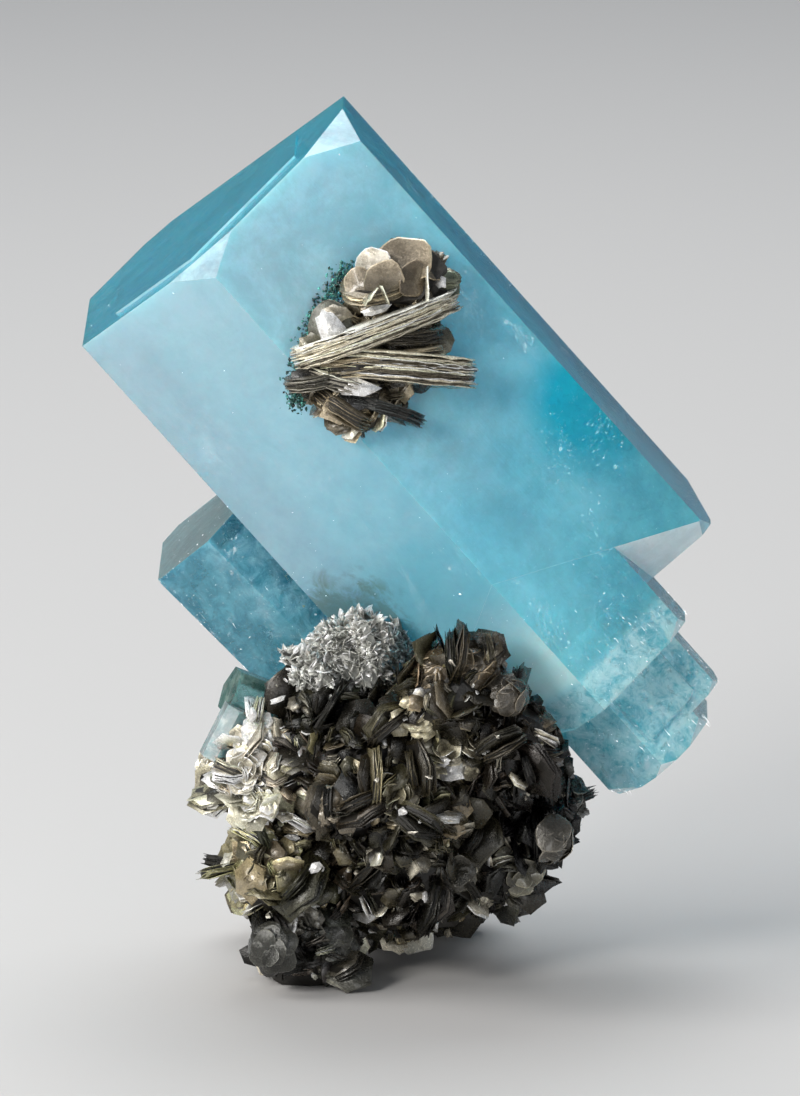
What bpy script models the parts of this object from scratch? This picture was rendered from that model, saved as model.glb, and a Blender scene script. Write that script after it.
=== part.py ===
"""Aquamarine crystals grown together on a muscovite mica matrix, at real size, in metres with Z up.

A beryl crystal is the space behind its flat faces: six prism faces round the long axis, a basal face at
each end and small sloping corner faces. Each face is a plane at its own distance from the crystal's
centre, so a crystal is a block cut down plane by plane. Crystals that grew into one another are joined.
The mica is a lumpy core of swellings with fans of thick six-sided mica books grown on it. It is cut back
where crystals stand in it, and cut flat underneath, where the specimen rests.
"""

import math
import random
from collections import namedtuple

import bmesh
import bpy
from mathutils import Matrix, Vector, noise

MM = 0.001
CONTACT_GAP = 0.3          # mm left between two pieces that touch
BLANK_SIZE = 400.0         # mm, the block that each crystal is cut from
CORNER_FACE_SLOPE = 44.9   # degrees between beryl's corner faces and its basal face
PRISM_TURN = 1.0           # degrees from a crystal's right-hand direction to its first prism face

# The middle of the big crystal, in mm. It puts the origin under the middle of the specimen, on the floor.
HEART = Vector((-3.29, 8.66, 102.0))
BIG_LEAN = 41.4            # degrees between the big crystal's long axis and the vertical, to the left

# A crystal: lean to the left and swing to the front in degrees, centre from HEART in mm, the distances
# of its six prism faces (right, front right, front left, left, back left, back right), the distances of
# its top and foot, and for each corner face the prism edge it sits on and how far down that edge it
# starts. Edge 0 lies between the right and front right faces, and edge 1 is the one at the front.
Crystal = namedtuple("Crystal", "lean swing centre prism top foot top_corners foot_corners")

BIG = Crystal(BIG_LEAN, 0, (0, 0, 0), (35.6, 31.2, 30.5, 29.7, 37.1, 24.6), 52.0, 53.7,
              {0: 5.4, 1: 4.3, 4: 2.0}, {0: 3.2, 1: 22.9, 5: 6.5, 3: 6.0})
BIG_TOP_STEP = Crystal(BIG_LEAN, 0, (0, 0, 0), (24.0, 23.5, 25.0, 21.0, 33.0, 19.0), 52.45, 20.0, {}, {})
BIG_BACK_STEP = Crystal(BIG_LEAN, 0, (0, 0, 0), (30.0, 22.0, 22.0, 27.0, 37.7, 19.0), 44.0, 43.0,
                        {}, {3: 5.0})
STEPPED_END = Crystal(BIG_LEAN, 0, (0, 0, 0), (21.0, 31.17, 30.47, 9.6, 5.0, 0.9), 10.0, 63.0,
                      {}, {0: 2.2, 2: 2.0})
STEPPED_RIB = Crystal(BIG_LEAN, 0, (0, 0, 0), (14.0, 29.6, 29.9, 12.6, 8.0, 1.0), 5.0, 60.5, {}, {})
REAR_LONG = Crystal(BIG_LEAN, 0, (0, 0, 0), (10.9, 24.0, 23.5, 11.3, 8.0, 6.0), 0.0, 81.0,
                    {}, {1: 1.5, 2: 3.2, 0: 2.6})
REAR_SHORT = Crystal(BIG_LEAN, 0, (0, 0, 0), (17.2, 24.0, 22.0, 4.0, 9.0, 0.4), 0.0, 76.7,
                     {}, {0: 1.4, 5: 1.2})
REAR_RIB = Crystal(BIG_LEAN, 0, (0, 0, 0), (13.6, 24.7, 22.6, 0.5, 4.0, 4.0), 0.0, 74.6, {}, {0: 1.0})
LOWER_LEFT = Crystal(44.3, 0, (-33.1, 8.0, -19.1), (16.0, 18.9, 18.8, 13.5, 23.3, 14.0), 0.0, 52.0,
                     {2: 0.6}, {2: 6.0, 3: 8.0})
JOINED_CRYSTALS = (BIG, BIG_TOP_STEP, BIG_BACK_STEP, STEPPED_END, STEPPED_RIB, REAR_LONG, REAR_SHORT,
                   REAR_RIB, LOWER_LEFT)

GREEN = Crystal(66.0, 14, (-24.6, -19.5, -48.9), (4.4, 4.1, 4.6, 4.0, 4.4, 4.4), 5.2, 7.5,
                {1: 0.9, 2: 0.7}, {})
PALE = Crystal(-27.0, 10, (-29.2, -25.5, -53.2), (2.9, 2.6, 3.0, 2.8, 3.0, 3.0), 4.4, 6.5,
               {1: 0.5}, {})

# The mica core's swellings, in mm: centre from HEART, then the half sizes across, deep and high.
CORE_LUMPS = {
    "body": ((2, -11, -70), (25, 25, 25)),
    "upper left": ((-21.5, -26, -61), (9.4, 11, 9.6)),
    "lower left": ((-19, -25, -80.5), (9.4, 11, 9)),
    "foot": ((-14.4, -24, -95), (8.6, 10.5, 10.5)),
    "front bottom": ((3.5, -19, -82.5), (15, 15, 8)),
    "right bottom": ((19, -15, -80.5), (11, 13, 9)),
    "right": ((27.5, -18, -70), (7.4, 12, 10)),
    "upper right": ((23, -37, -54), (8.8, 9, 9.5)),
    "upper middle": ((12.5, -41, -42.5), (8.8, 8, 7.6)),
    "front": ((2, -35, -62), (15, 11, 15)),
    "rosette": ((-5.2, -27, -38.8), (9.2, 7.5, 6.8)),
    "under rosette": ((-6, -26, -50), (12, 9, 9)),
    "rear": ((-3, 14, -86), (19, 14, 21)),
}
LUMP_DIVISIONS = 2         # times the ball that a lump starts from is divided
LUMP_ROUGHNESS = 0.16      # part of a lump's half size by which its surface wanders
LUMP_WAVES = 2.6           # noise periods across one lump

# The fans of mica books on the core: number, books in one, and their sizes in mm.
FANS = 74
BOOKS_IN_FAN = 2
FAN_SPREAD = 34.0          # degrees from the first book to the last
BOOK_RADIUS = (3.4, 6.2)
BOOK_THICKNESS = (0.9, 1.7)
BOOK_STANDS_OUT = 0.42     # part of a book's radius by which its middle is off the core
FAN_CLEARANCE = 5.0        # mm between the feet of two fans
LOWEST_FAN = 3.0           # mm above the floor
STEEPEST_FAN = -0.62       # no fan grows where the core faces the floor more than this
FAN_SEED = 11

# The books of the cluster on the big crystal's front right face. Each is given by its place on that
# face (mm across it to the right, mm up the crystal, mm out from it), the direction its flat side
# looks in (same three directions), then its half length, half width and thickness in mm.
CLUSTER_BOOKS = (
    ((-2.2, 20.0, 5.5), (0.38, 0.92, 0.12), (16.0, 7.0, 3.4)),
    ((-3.5, 10.8, 6.0), (0.72, 0.69, 0.12), (13.0, 6.5, 4.6)),
    ((-6.0, 15.5, 5.5), (0.55, 0.82, 0.20), (11.5, 6.0, 2.6)),
    ((9.5, 23.5, 6.5), (-0.10, 0.45, 0.88), (7.5, 6.8, 2.4)),
    ((5.0, 25.5, 5.0), (0.30, 0.80, 0.50), (7.0, 5.6, 2.0)),
    ((13.0, 20.5, 5.0), (0.80, 0.10, 0.60), (6.2, 5.4, 1.8)),
    ((6.5, 21.5, 5.5), (-0.40, 0.50, 0.77), (6.5, 5.6, 2.0)),
    ((-8.2, 26.0, 4.0), (-0.35, 0.25, 0.90), (4.6, 3.8, 1.5)),
    ((-16.5, 21.0, 3.2), (0.45, 0.85, 0.25), (6.0, 4.6, 2.2)),
    ((-13.5, 17.5, 4.0), (0.75, 0.55, 0.35), (6.4, 4.8, 2.2)),
    ((-17.0, 13.5, 3.4), (0.85, 0.30, 0.42), (5.4, 4.4, 2.4)),
    ((-11.0, 7.8, 3.8), (0.85, 0.50, 0.18), (7.4, 4.4, 2.0)),
    ((4.5, 11.0, 4.6), (0.25, 0.35, 0.90), (4.0, 3.8, 1.4)),
    ((14.5, 18.2, 5.4), (0.55, 0.55, 0.62), (3.8, 3.0, 1.2)),
    ((1.0, 16.0, 5.0), (0.60, 0.70, 0.38), (7.5, 5.0, 2.2)),
)
# The pads that the cluster's books stand in: place on the same face, then half sizes, in mm.
CLUSTER_PADS = (
    ((-3.0, 17.5, 0.5), (13.0, 8.5, 5.0)),
    ((8.5, 21.5, 0.8), (8.0, 6.6, 5.0)),
    ((-13.0, 18.0, 0.3), (6.5, 6.5, 3.8)),
    ((-11.0, 11.0, 0.2), (7.5, 5.0, 3.6)),
    ((1.5, 11.5, 0.2), (7.0, 5.0, 3.6)),
)

AQUAMARINE = ((0.36, 0.66, 0.76), 0.08)
GREEN_BERYL = ((0.33, 0.52, 0.42), 0.12)
PALE_BERYL = ((0.62, 0.72, 0.74), 0.12)
MICA = ((0.22, 0.20, 0.15), 0.45)
BROWN_MICA = ((0.42, 0.36, 0.27), 0.40)


# ------------------------------------------------------------------ crystals

def axes_of(crystal):
    """Three unit vectors: along the crystal, to its right and to its front."""
    lean = math.radians(crystal.lean)
    turn = Matrix.Rotation(math.radians(crystal.swing), 3, "Z")
    along = Vector((-math.sin(lean), 0, math.cos(lean)))
    right = Vector((math.cos(lean), 0, math.sin(lean)))
    return turn @ along, turn @ right, turn @ Vector((0, -1, 0))


def side_direction(crystal, degrees):
    """The direction at this angle round the crystal, from its right towards its front."""
    _, right, front = axes_of(crystal)
    angle = math.radians(degrees)
    return math.cos(angle) * right + math.sin(angle) * front


def edge_distance(crystal, edge):
    """How far a prism edge lies from the axis, measured along the direction between its two faces."""
    first = crystal.prism[edge % 6]
    second = crystal.prism[(edge + 1) % 6]
    return (first + second) / (2 * math.cos(math.radians(30)))


def crystal_planes(crystal, growth=0.0):
    """The (outward normal, distance from the centre) of every face, each moved out by growth mm."""
    along, _, _ = axes_of(crystal)
    planes = []
    for face, distance in enumerate(crystal.prism):
        planes.append((side_direction(crystal, PRISM_TURN + 60 * face), distance + growth))
    planes.append((along, crystal.top + growth))
    planes.append((-along, crystal.foot + growth))
    slope = math.radians(CORNER_FACE_SLOPE)
    ends = ((along, crystal.top, crystal.top_corners), (-along, crystal.foot, crystal.foot_corners))
    for outward, end, corners in ends:
        for edge, start in corners.items():
            side = side_direction(crystal, PRISM_TURN + 60 * edge + 30)
            normal = math.sin(slope) * side + math.cos(slope) * outward
            reach = math.sin(slope) * edge_distance(crystal, edge) + math.cos(slope) * (end - start)
            planes.append((normal, reach + growth))
    return planes


def cut_crystal(crystal, growth=0.0):
    """A closed mesh: a block cut down by the crystal's faces, in metres."""
    centre = HEART + Vector(crystal.centre)
    shape = bmesh.new()
    bmesh.ops.create_cube(shape, size=BLANK_SIZE)
    for normal, distance in crystal_planes(crystal, growth):
        everything = shape.verts[:] + shape.edges[:] + shape.faces[:]
        cut = bmesh.ops.bisect_plane(shape, geom=everything, dist=1e-5, plane_co=normal * distance,
                                     plane_no=normal, clear_outer=True)
        rim = [item for item in cut["geom_cut"] if isinstance(item, bmesh.types.BMEdge)]
        if rim:
            bmesh.ops.edgeloop_fill(shape, edges=rim)
    bmesh.ops.translate(shape, verts=shape.verts[:], vec=centre)
    return finished_mesh(shape)


# ------------------------------------------------------------------ meshes and booleans

def finished_mesh(shape):
    """Turns a bmesh that is in millimetres into a mesh in metres with its faces outward."""
    bmesh.ops.scale(shape, verts=shape.verts[:], vec=(MM, MM, MM))
    bmesh.ops.recalc_face_normals(shape, faces=shape.faces[:])
    mesh = bpy.data.meshes.new("shape")
    shape.to_mesh(mesh)
    shape.free()
    return mesh


def helper(name, meshes):
    """A hidden object that holds several meshes as one, for a Boolean to read."""
    shape = bmesh.new()
    for mesh in meshes:
        shape.from_mesh(mesh)
    joined = bpy.data.meshes.new(name)
    shape.to_mesh(joined)
    shape.free()
    obj = bpy.data.objects.new(name, joined)
    bpy.context.collection.objects.link(obj)
    obj.hide_render = True
    obj.display_type = "WIRE"
    return obj


def combine(obj, tool, operation):
    """Joins or cuts obj with a helper for good, and removes the helper."""
    step = obj.modifiers.new(operation.title(), "BOOLEAN")
    step.operation = operation
    step.solver = "EXACT"
    step.use_self = True
    step.object = tool
    graph = bpy.context.evaluated_depsgraph_get()
    result = bpy.data.meshes.new_from_object(obj.evaluated_get(graph))
    obj.modifiers.clear()
    obj.data = result
    bpy.data.objects.remove(tool)


def islands_of(shape):
    """The lists of faces that hang together over shared edges."""
    left = set(shape.faces)
    islands = []
    while left:
        front = [left.pop()]
        island = list(front)
        while front:
            face = front.pop()
            for edge in face.edges:
                for other in edge.link_faces:
                    if other in left:
                        left.remove(other)
                        front.append(other)
                        island.append(other)
        islands.append(island)
    return islands


def keep_main_body(obj):
    """Removes crumbs and sealed pockets: only the largest closed surface stays."""
    shape = bmesh.new()
    shape.from_mesh(obj.data)
    islands = sorted(islands_of(shape), key=len)
    spare = [face for island in islands[:-1] for face in island]
    bmesh.ops.delete(shape, geom=spare, context="FACES")
    bmesh.ops.triangulate(shape, faces=shape.faces[:])
    shape.to_mesh(obj.data)
    shape.free()


def piece(name, mesh, look):
    """A visible object with its own material: look is its colour and its roughness."""
    colour, roughness = look
    obj = bpy.data.objects.new(name, mesh)
    bpy.context.collection.objects.link(obj)
    material = bpy.data.materials.new(name)
    material.use_nodes = True
    shader = material.node_tree.nodes["Principled BSDF"]
    shader.inputs["Base Color"].default_value = (*colour, 1)
    shader.inputs["Roughness"].default_value = roughness
    shader.inputs["Metallic"].default_value = 0
    obj.data.materials.append(material)
    return obj


# ------------------------------------------------------------------ mica

def lump(centre, half_sizes, seed):
    """A ball stretched to its half sizes, with a wandering surface."""
    shape = bmesh.new()
    bmesh.ops.create_icosphere(shape, subdivisions=LUMP_DIVISIONS, radius=1)
    for vert in shape.verts:
        place = vert.co * (LUMP_WAVES / 2) + Vector((seed, 3.7 * seed, 0))
        swell = 1 + LUMP_ROUGHNESS * 2 * noise.noise(place)
        vert.co = Vector(a * b for a, b in zip(vert.co * swell, half_sizes))
    bmesh.ops.translate(shape, verts=shape.verts[:], vec=centre)
    return finished_mesh(shape)


def book_rim(centre, flat_side, long_way, half_length, half_width, rng):
    """The six uneven corners of a mica book's middle sheet, and the direction its flat side looks in."""
    up = flat_side.normalized()
    along = (long_way - long_way.dot(up) * up).normalized()
    across = up.cross(along)
    rim = []
    for corner in range(6):
        angle = math.radians(60 * corner + rng.uniform(-7, 7))
        reach = rng.uniform(0.9, 1.1)
        flat = half_length * math.cos(angle) * along + half_width * math.sin(angle) * across
        rim.append(centre + reach * flat)
    return rim, up


def book(rim, up, thickness):
    """A six-sided mica book: its middle sheet's rim made thick to both sides."""
    shape = bmesh.new()
    lower = [shape.verts.new(point - up * thickness / 2) for point in rim]
    upper = [shape.verts.new(point + up * thickness / 2) for point in rim]
    shape.faces.new(lower[::-1])
    shape.faces.new(upper)
    for corner in range(6):
        after = (corner + 1) % 6
        shape.faces.new((lower[corner], lower[after], upper[after], upper[corner]))
    return finished_mesh(shape)


def random_direction(rng):
    """A direction anywhere on the sphere, all equally likely."""
    height = rng.uniform(-1, 1)
    angle = rng.uniform(0, 2 * math.pi)
    ring = math.sqrt(1 - height * height)
    return Vector((ring * math.cos(angle), ring * math.sin(angle), height))


def depth_in(point, centre, half_sizes):
    """Under 1 inside the lump's plain ellipsoid, 1 on it and more outside."""
    return Vector((p - c) / h for p, c, h in zip(point, centre, half_sizes)).length


def fan_places(rng):
    """Yields a (point, outward direction) on the outside of the core, spread over its lumps by size."""
    lumps = [(HEART + Vector(centre), Vector(sizes)) for centre, sizes in CORE_LUMPS.values()]
    weights = [sizes.x * sizes.y + sizes.y * sizes.z + sizes.z * sizes.x for _, sizes in lumps]
    placed = []
    while True:
        centre, sizes = rng.choices(lumps, weights)[0]
        way = random_direction(rng)
        point = centre + Vector(a * b for a, b in zip(way, sizes))
        outward = Vector(a / b for a, b in zip(way, sizes)).normalized()
        buried = any(depth_in(point, other, size) < 0.97 for other, size in lumps if other != centre)
        crowded = any((point - other).length < FAN_CLEARANCE for other in placed)
        under = point.z < LOWEST_FAN or outward.z < STEEPEST_FAN
        if buried or crowded or under:
            continue
        placed.append(point)
        yield point, outward


def fan_books(rng):
    """The (rim, flat direction, thickness) of each book. A fan spreads round a line in the core's skin."""
    places = fan_places(rng)
    books = []
    for _ in range(FANS):
        point, outward = next(places)
        hinge = outward.cross(random_direction(rng)).normalized()
        for index in range(BOOKS_IN_FAN):
            angle = FAN_SPREAD * (index / (BOOKS_IN_FAN - 1) - 0.5) + rng.uniform(-6, 6)
            spoke = Matrix.Rotation(math.radians(angle), 3, hinge) @ outward
            radius = rng.uniform(*BOOK_RADIUS)
            width = radius * rng.uniform(0.8, 1.15)
            centre = point + spoke * radius * BOOK_STANDS_OUT
            rim, up = book_rim(centre, hinge.cross(spoke), spoke, radius, width, rng)
            books.append((rim, up, rng.uniform(*BOOK_THICKNESS)))
    return books


def floor_block():
    """Everything below the floor, for cutting the core flat."""
    shape = bmesh.new()
    bmesh.ops.create_cube(shape, size=BLANK_SIZE)
    bmesh.ops.translate(shape, verts=shape.verts[:], vec=(0, 0, -BLANK_SIZE / 2))
    return finished_mesh(shape)


def grown(crystals):
    """The crystals with every face moved out by the contact gap, for cutting what touches them."""
    return [cut_crystal(crystal, CONTACT_GAP) for crystal in crystals]


def mica_matrix():
    """The core's lumps and the books on them as one body, cut by the crystals and by the floor."""
    rng = random.Random(FAN_SEED)
    lumps = [lump(HEART + Vector(centre), sizes, seed)
             for seed, (centre, sizes) in enumerate(CORE_LUMPS.values())]
    matrix = piece("muscovite_matrix", lumps[0], MICA)
    books = [book(*shape) for shape in fan_books(rng)]
    combine(matrix, helper("rest of the mica", lumps[1:] + books), "UNION")
    combine(matrix, helper("crystal room", grown(JOINED_CRYSTALS + (GREEN, PALE))), "DIFFERENCE")
    combine(matrix, helper("floor", [floor_block()]), "DIFFERENCE")
    keep_main_body(matrix)
    return matrix


def face_frame():
    """The front right face of the big crystal: its middle, its right, the way up it and the way out."""
    out = side_direction(BIG, PRISM_TURN + 60)
    along, _, _ = axes_of(BIG)
    return HEART + out * BIG.prism[1], along.cross(out), along, out


def mica_cluster():
    """The books on the big crystal's front face, in low pads, as one body."""
    rng = random.Random(FAN_SEED + 1)
    middle, right, along, out = face_frame()
    turn = Matrix((right, along, out)).transposed()
    solids = []
    for index, (place, sizes) in enumerate(CLUSTER_PADS):
        pad = lump((0, 0, 0), sizes, 20 + index)
        pad.transform(Matrix.Translation((middle + turn @ Vector(place)) * MM) @ turn.to_4x4())
        solids.append(pad)
    for place, looks, (half_length, half_width, thickness) in CLUSTER_BOOKS:
        flat_side = turn @ Vector(looks)
        rim, up = book_rim(middle + turn @ Vector(place), flat_side, flat_side.cross(out), half_length,
                           half_width, rng)
        solids.append(book(rim, up, thickness))
    cluster = piece("muscovite_cluster", solids[0], BROWN_MICA)
    combine(cluster, helper("rest of the cluster", solids[1:]), "UNION")
    combine(cluster, helper("face room", grown([BIG])), "DIFFERENCE")
    keep_main_body(cluster)
    return cluster


# ------------------------------------------------------------------ the specimen

def joined_crystals():
    """The big crystal with the smaller ones that grew into it, as one body."""
    solid = piece("aquamarine_crystals", cut_crystal(JOINED_CRYSTALS[0]), AQUAMARINE)
    rest = [cut_crystal(crystal) for crystal in JOINED_CRYSTALS[1:]]
    combine(solid, helper("rest of the crystals", rest), "UNION")
    keep_main_body(solid)
    return solid


def small_crystal(name, crystal, neighbours, look):
    """A small crystal that stands beside others, clear of them."""
    solid = piece(name, cut_crystal(crystal), look)
    combine(solid, helper("neighbours", grown(neighbours)), "DIFFERENCE")
    keep_main_body(solid)
    return solid


def main():
    for obj in list(bpy.data.objects):
        bpy.data.objects.remove(obj)
    joined_crystals()
    small_crystal("small_green_crystal", GREEN, JOINED_CRYSTALS, GREEN_BERYL)
    small_crystal("small_pale_crystal", PALE, JOINED_CRYSTALS + (GREEN,), PALE_BERYL)
    mica_matrix()
    mica_cluster()


main()
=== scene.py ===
# %% [markdown]
# # Aquamarine crystals on muscovite mica
# The real thing is a hand-sized mineral specimen: one big tilted crystal of pale blue beryl with
# smaller ones grown into it, on a lump of silvery brown mica, and a tuft of mica on its front.
# The crystals' flat faces come ready made in the frame, in metres with Z up. This lesson gives them
# a clear finish with cloudy insides, and covers the mica's thick books with thin ragged leaves.

# %% The frame
import math
import random
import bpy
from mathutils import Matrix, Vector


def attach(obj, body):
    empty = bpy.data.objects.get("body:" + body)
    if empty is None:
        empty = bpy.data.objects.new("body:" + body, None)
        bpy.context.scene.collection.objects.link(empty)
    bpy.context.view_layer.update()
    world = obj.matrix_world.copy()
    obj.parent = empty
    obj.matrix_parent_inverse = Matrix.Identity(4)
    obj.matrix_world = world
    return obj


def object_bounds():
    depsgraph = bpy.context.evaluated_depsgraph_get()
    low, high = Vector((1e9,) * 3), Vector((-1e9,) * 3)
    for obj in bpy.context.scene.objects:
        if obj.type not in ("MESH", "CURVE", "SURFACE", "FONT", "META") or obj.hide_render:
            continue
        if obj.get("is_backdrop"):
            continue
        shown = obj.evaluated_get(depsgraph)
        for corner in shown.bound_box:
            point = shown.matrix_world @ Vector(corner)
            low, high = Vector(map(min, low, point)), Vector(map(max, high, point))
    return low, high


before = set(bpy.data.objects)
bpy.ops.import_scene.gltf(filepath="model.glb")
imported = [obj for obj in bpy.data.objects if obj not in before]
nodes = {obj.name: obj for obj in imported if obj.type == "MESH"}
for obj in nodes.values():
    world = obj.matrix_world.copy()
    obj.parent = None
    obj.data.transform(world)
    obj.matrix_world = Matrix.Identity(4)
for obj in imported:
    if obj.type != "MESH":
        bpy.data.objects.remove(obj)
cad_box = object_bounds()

from types import SimpleNamespace

import bpy
import numpy as np
from mathutils import Matrix, Vector
from mathutils.bvhtree import BVHTree

MM = 0.001
print("nodes:", {name: len(node.data.polygons) for name, node in nodes.items()})

# %% [markdown]
# ## Camera
# The specimen is seen from the front, a little above, with almost no perspective, as a long lens
# shows a small object. The camera therefore stands far off, and its lens is as long as the frame's
# height needs: lens = sensor x distance / height of what it sees.

# %% Camera
PICTURE = (800, 1096)                  # pixels, wide and high
MM_PER_PIXEL = 0.19
VIEW_DOWN = math.radians(12.0)
CAMERA_DISTANCE = 3.0                  # metres
SENSOR = 36.0
AIM = Vector((-0.17, 0.0, 80.3)) * MM
TO_CAMERA = Vector((0.0, -math.cos(VIEW_DOWN), math.sin(VIEW_DOWN)))

camera_data = bpy.data.cameras.new("camera")
camera = bpy.data.objects.new("camera", camera_data)
bpy.context.scene.collection.objects.link(camera)
camera.location = AIM + TO_CAMERA * CAMERA_DISTANCE
camera.rotation_mode = "QUATERNION"
camera.rotation_quaternion = (-TO_CAMERA).to_track_quat("-Z", "Y")
camera_data.sensor_width = SENSOR
camera_data.lens = SENSOR * CAMERA_DISTANCE / (PICTURE[1] * MM_PER_PIXEL * MM)
camera_data.clip_start = 0.1
camera_data.clip_end = 60.0
bpy.context.scene.camera = camera
print("lens", round(camera_data.lens, 1), "mm")

# %% [markdown]
# ## Floor and lights
# A wide pale disc is the floor. Soft square lights hang to the upper left, above and behind, and to
# the right, and the sky is dim and darkest at the horizon, so that the gaps between the mica leaves
# go dark. A light shows up as a white face wherever a crystal face mirrors it towards the camera, so
# two of them hang where the two small corner faces look.

# %% Floor and lights
FLOOR_RADIUS = 9.0
FLOOR_COLOUR = (0.60, 0.585, 0.57)
SKY_LOW = (0.035, 0.04, 0.045)
SKY_HIGH = (0.25, 0.28, 0.32)


def area_light(name, way, distance, size, watts, colour=(1, 1, 1)):
    """A square light, size metres wide, out from the specimen's middle along way and facing it."""
    data = bpy.data.lights.new(name, "AREA")
    data.shape = "SQUARE"
    data.size = size
    data.energy = watts
    data.color = colour
    lamp = bpy.data.objects.new(name, data)
    lamp.location = AIM + Vector(way).normalized() * distance
    lamp.rotation_mode = "QUATERNION"
    lamp.rotation_quaternion = (AIM - lamp.location).to_track_quat("-Z", "Y")
    bpy.context.scene.collection.objects.link(lamp)


turn = np.linspace(0, 2 * np.pi, 96, endpoint=False)
rim = np.stack([FLOOR_RADIUS * np.cos(turn), FLOOR_RADIUS * np.sin(turn), 0 * turn], axis=1)
floor_mesh = bpy.data.meshes.new("floor")
floor_mesh.from_pydata(rim.tolist(), [], [list(range(len(rim)))])
floor = bpy.data.objects.new("floor", floor_mesh)
bpy.context.scene.collection.objects.link(floor)
floor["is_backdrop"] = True
floor_finish = bpy.data.materials.new("pale floor")
floor_finish.use_nodes = True
floor_shader = floor_finish.node_tree.nodes["Principled BSDF"]
floor_shader.inputs["Base Color"].default_value = (*FLOOR_COLOUR, 1)
floor_shader.inputs["Roughness"].default_value = 0.55
floor_mesh.materials.append(floor_finish)

area_light("front light", (-0.55, -0.72, 0.42), 1.2, 0.36, 9.0, (1.0, 0.98, 0.95))
area_light("low front light", (0.30, -0.95, 0.02), 1.4, 0.60, 4.6, (0.98, 0.99, 1.0))
area_light("left light", (-0.765, -0.152, 0.642), 1.15, 0.75, 7.6, (1.0, 0.98, 0.96))
area_light("top light", (-0.015, 0.578, 0.816), 1.2, 0.85, 9.5, (0.97, 0.99, 1.0))
area_light("right light", (0.98, 0.10, 0.20), 1.3, 0.70, 0.9, (0.95, 0.98, 1.0))
bpy.context.scene.view_settings.view_transform = "Standard"

# %% [markdown]
# ## Shader maths in Python
# A finish is a web of small nodes. Written out node by node it is long and hard to read, so a small
# class wraps one socket and lets plus, minus and times add the Math nodes. Every other node comes
# from its one method, node, which takes the node's kind, its settings and what goes into it.

# %% A wire that can be added and multiplied
class Wire:
    """One socket of a material's tree. Maths on it in Python becomes nodes."""

    def __init__(self, tree, socket=None):
        self.tree = tree
        self.socket = socket

    def node(self, kind, settings=None, inputs=None, output=0):
        """Adds a node, sets its settings, feeds its sockets and gives the wire that comes out."""
        made = self.tree.nodes.new(kind)
        for name, value in (settings or {}).items():
            if name == "stops":
                ramp = made.color_ramp.elements
                ramp[0].position, ramp[0].color = value[0][0], (*value[0][1], 1)
                ramp[1].position, ramp[1].color = value[-1][0], (*value[-1][1], 1)
                for position, colour in value[1:-1]:
                    ramp.new(position).color = (*colour, 1)
            else:
                setattr(made, name, value)
        for name, value in (inputs or {}).items():
            if isinstance(value, Wire):
                self.tree.links.new(value.socket, made.inputs[name])
            else:
                made.inputs[name].default_value = value
        return Wire(self.tree, made.outputs[output])

    def maths(self, operation, *values):
        """A Math node on the given values, of which any may be wires."""
        return self.node("ShaderNodeMath", {"operation": operation}, dict(enumerate(values)))

    def __add__(self, other):
        return self.maths("ADD", self, other)

    def __sub__(self, other):
        return self.maths("SUBTRACT", self, other)

    def __rsub__(self, other):
        return self.maths("SUBTRACT", other, self)

    def __mul__(self, other):
        return self.maths("MULTIPLY", self, other)

    __radd__ = __add__
    __rmul__ = __mul__

    def step(self, low, high):
        """0 below low, 1 above high and a smooth rise between."""
        values = {"Value": self, "From Min": low, "From Max": high}
        return self.node("ShaderNodeMapRange", {"interpolation_type": "SMOOTHSTEP"}, values)

    def clipped(self, low=0.0, high=1.0):
        """The number kept between low and high."""
        return self.node("ShaderNodeClamp", None, {"Value": self, "Min": low, "Max": high})

    def dot(self, direction):
        """A vector wire's part along a fixed direction, as a number."""
        values = {0: self, 1: tuple(direction)}
        return self.node("ShaderNodeVectorMath", {"operation": "DOT_PRODUCT"}, values, "Value")

    def times(self, factors):
        """A vector or colour wire multiplied by fixed factors."""
        values = {0: self, 1: tuple(factors)}
        return self.node("ShaderNodeVectorMath", {"operation": "MULTIPLY"}, values)

    def blend(self, first, second):
        """The colour between first and second, at this wire's share of second."""
        colours = [c if isinstance(c, Wire) else (*c, 1) for c in (first, second)]
        values = {0: self, 6: colours[0], 7: colours[1]}
        return self.node("ShaderNodeMix", {"data_type": "RGBA"}, values, 2)

    def distance(self, point):
        """How far this vector wire is from a fixed point, as a number."""
        values = {0: self, 1: tuple(point)}
        return self.node("ShaderNodeVectorMath", {"operation": "DISTANCE"}, values, "Value")

    def noise(self, scale, detail=4.0, roughness=0.55, distortion=0.0):
        """Fractal noise over this vector wire, from 0 to 1."""
        values = {"Vector": self, "Scale": scale, "Detail": detail,
                  "Roughness": roughness, "Distortion": distortion}
        return self.node("ShaderNodeTexNoise", None, values)


def new_finish(name):
    """A material with an empty tree, and a wire to draw from."""
    material = bpy.data.materials.new(name)
    material.use_nodes = True
    material.node_tree.nodes.clear()
    return material, Wire(material.node_tree)


def place_in_mm(pen):
    """Where a point lies on the finished piece, in mm."""
    return pen.node("ShaderNodeTexCoord", output="Object").times((1 / MM, 1 / MM, 1 / MM))


def leaf_tint(pen):
    """The tint that the mesh carries at each of its points."""
    return pen.node("ShaderNodeAttribute", {"attribute_name": "tint"}, None, "Color")


def bumped(pen, strength, height_mm, relief):
    """Surface directions tilted by a relief that is height_mm deep."""
    values = {"Strength": strength, "Distance": height_mm * MM, "Height": relief}
    return pen.node("ShaderNodeBump", None, values)


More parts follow.
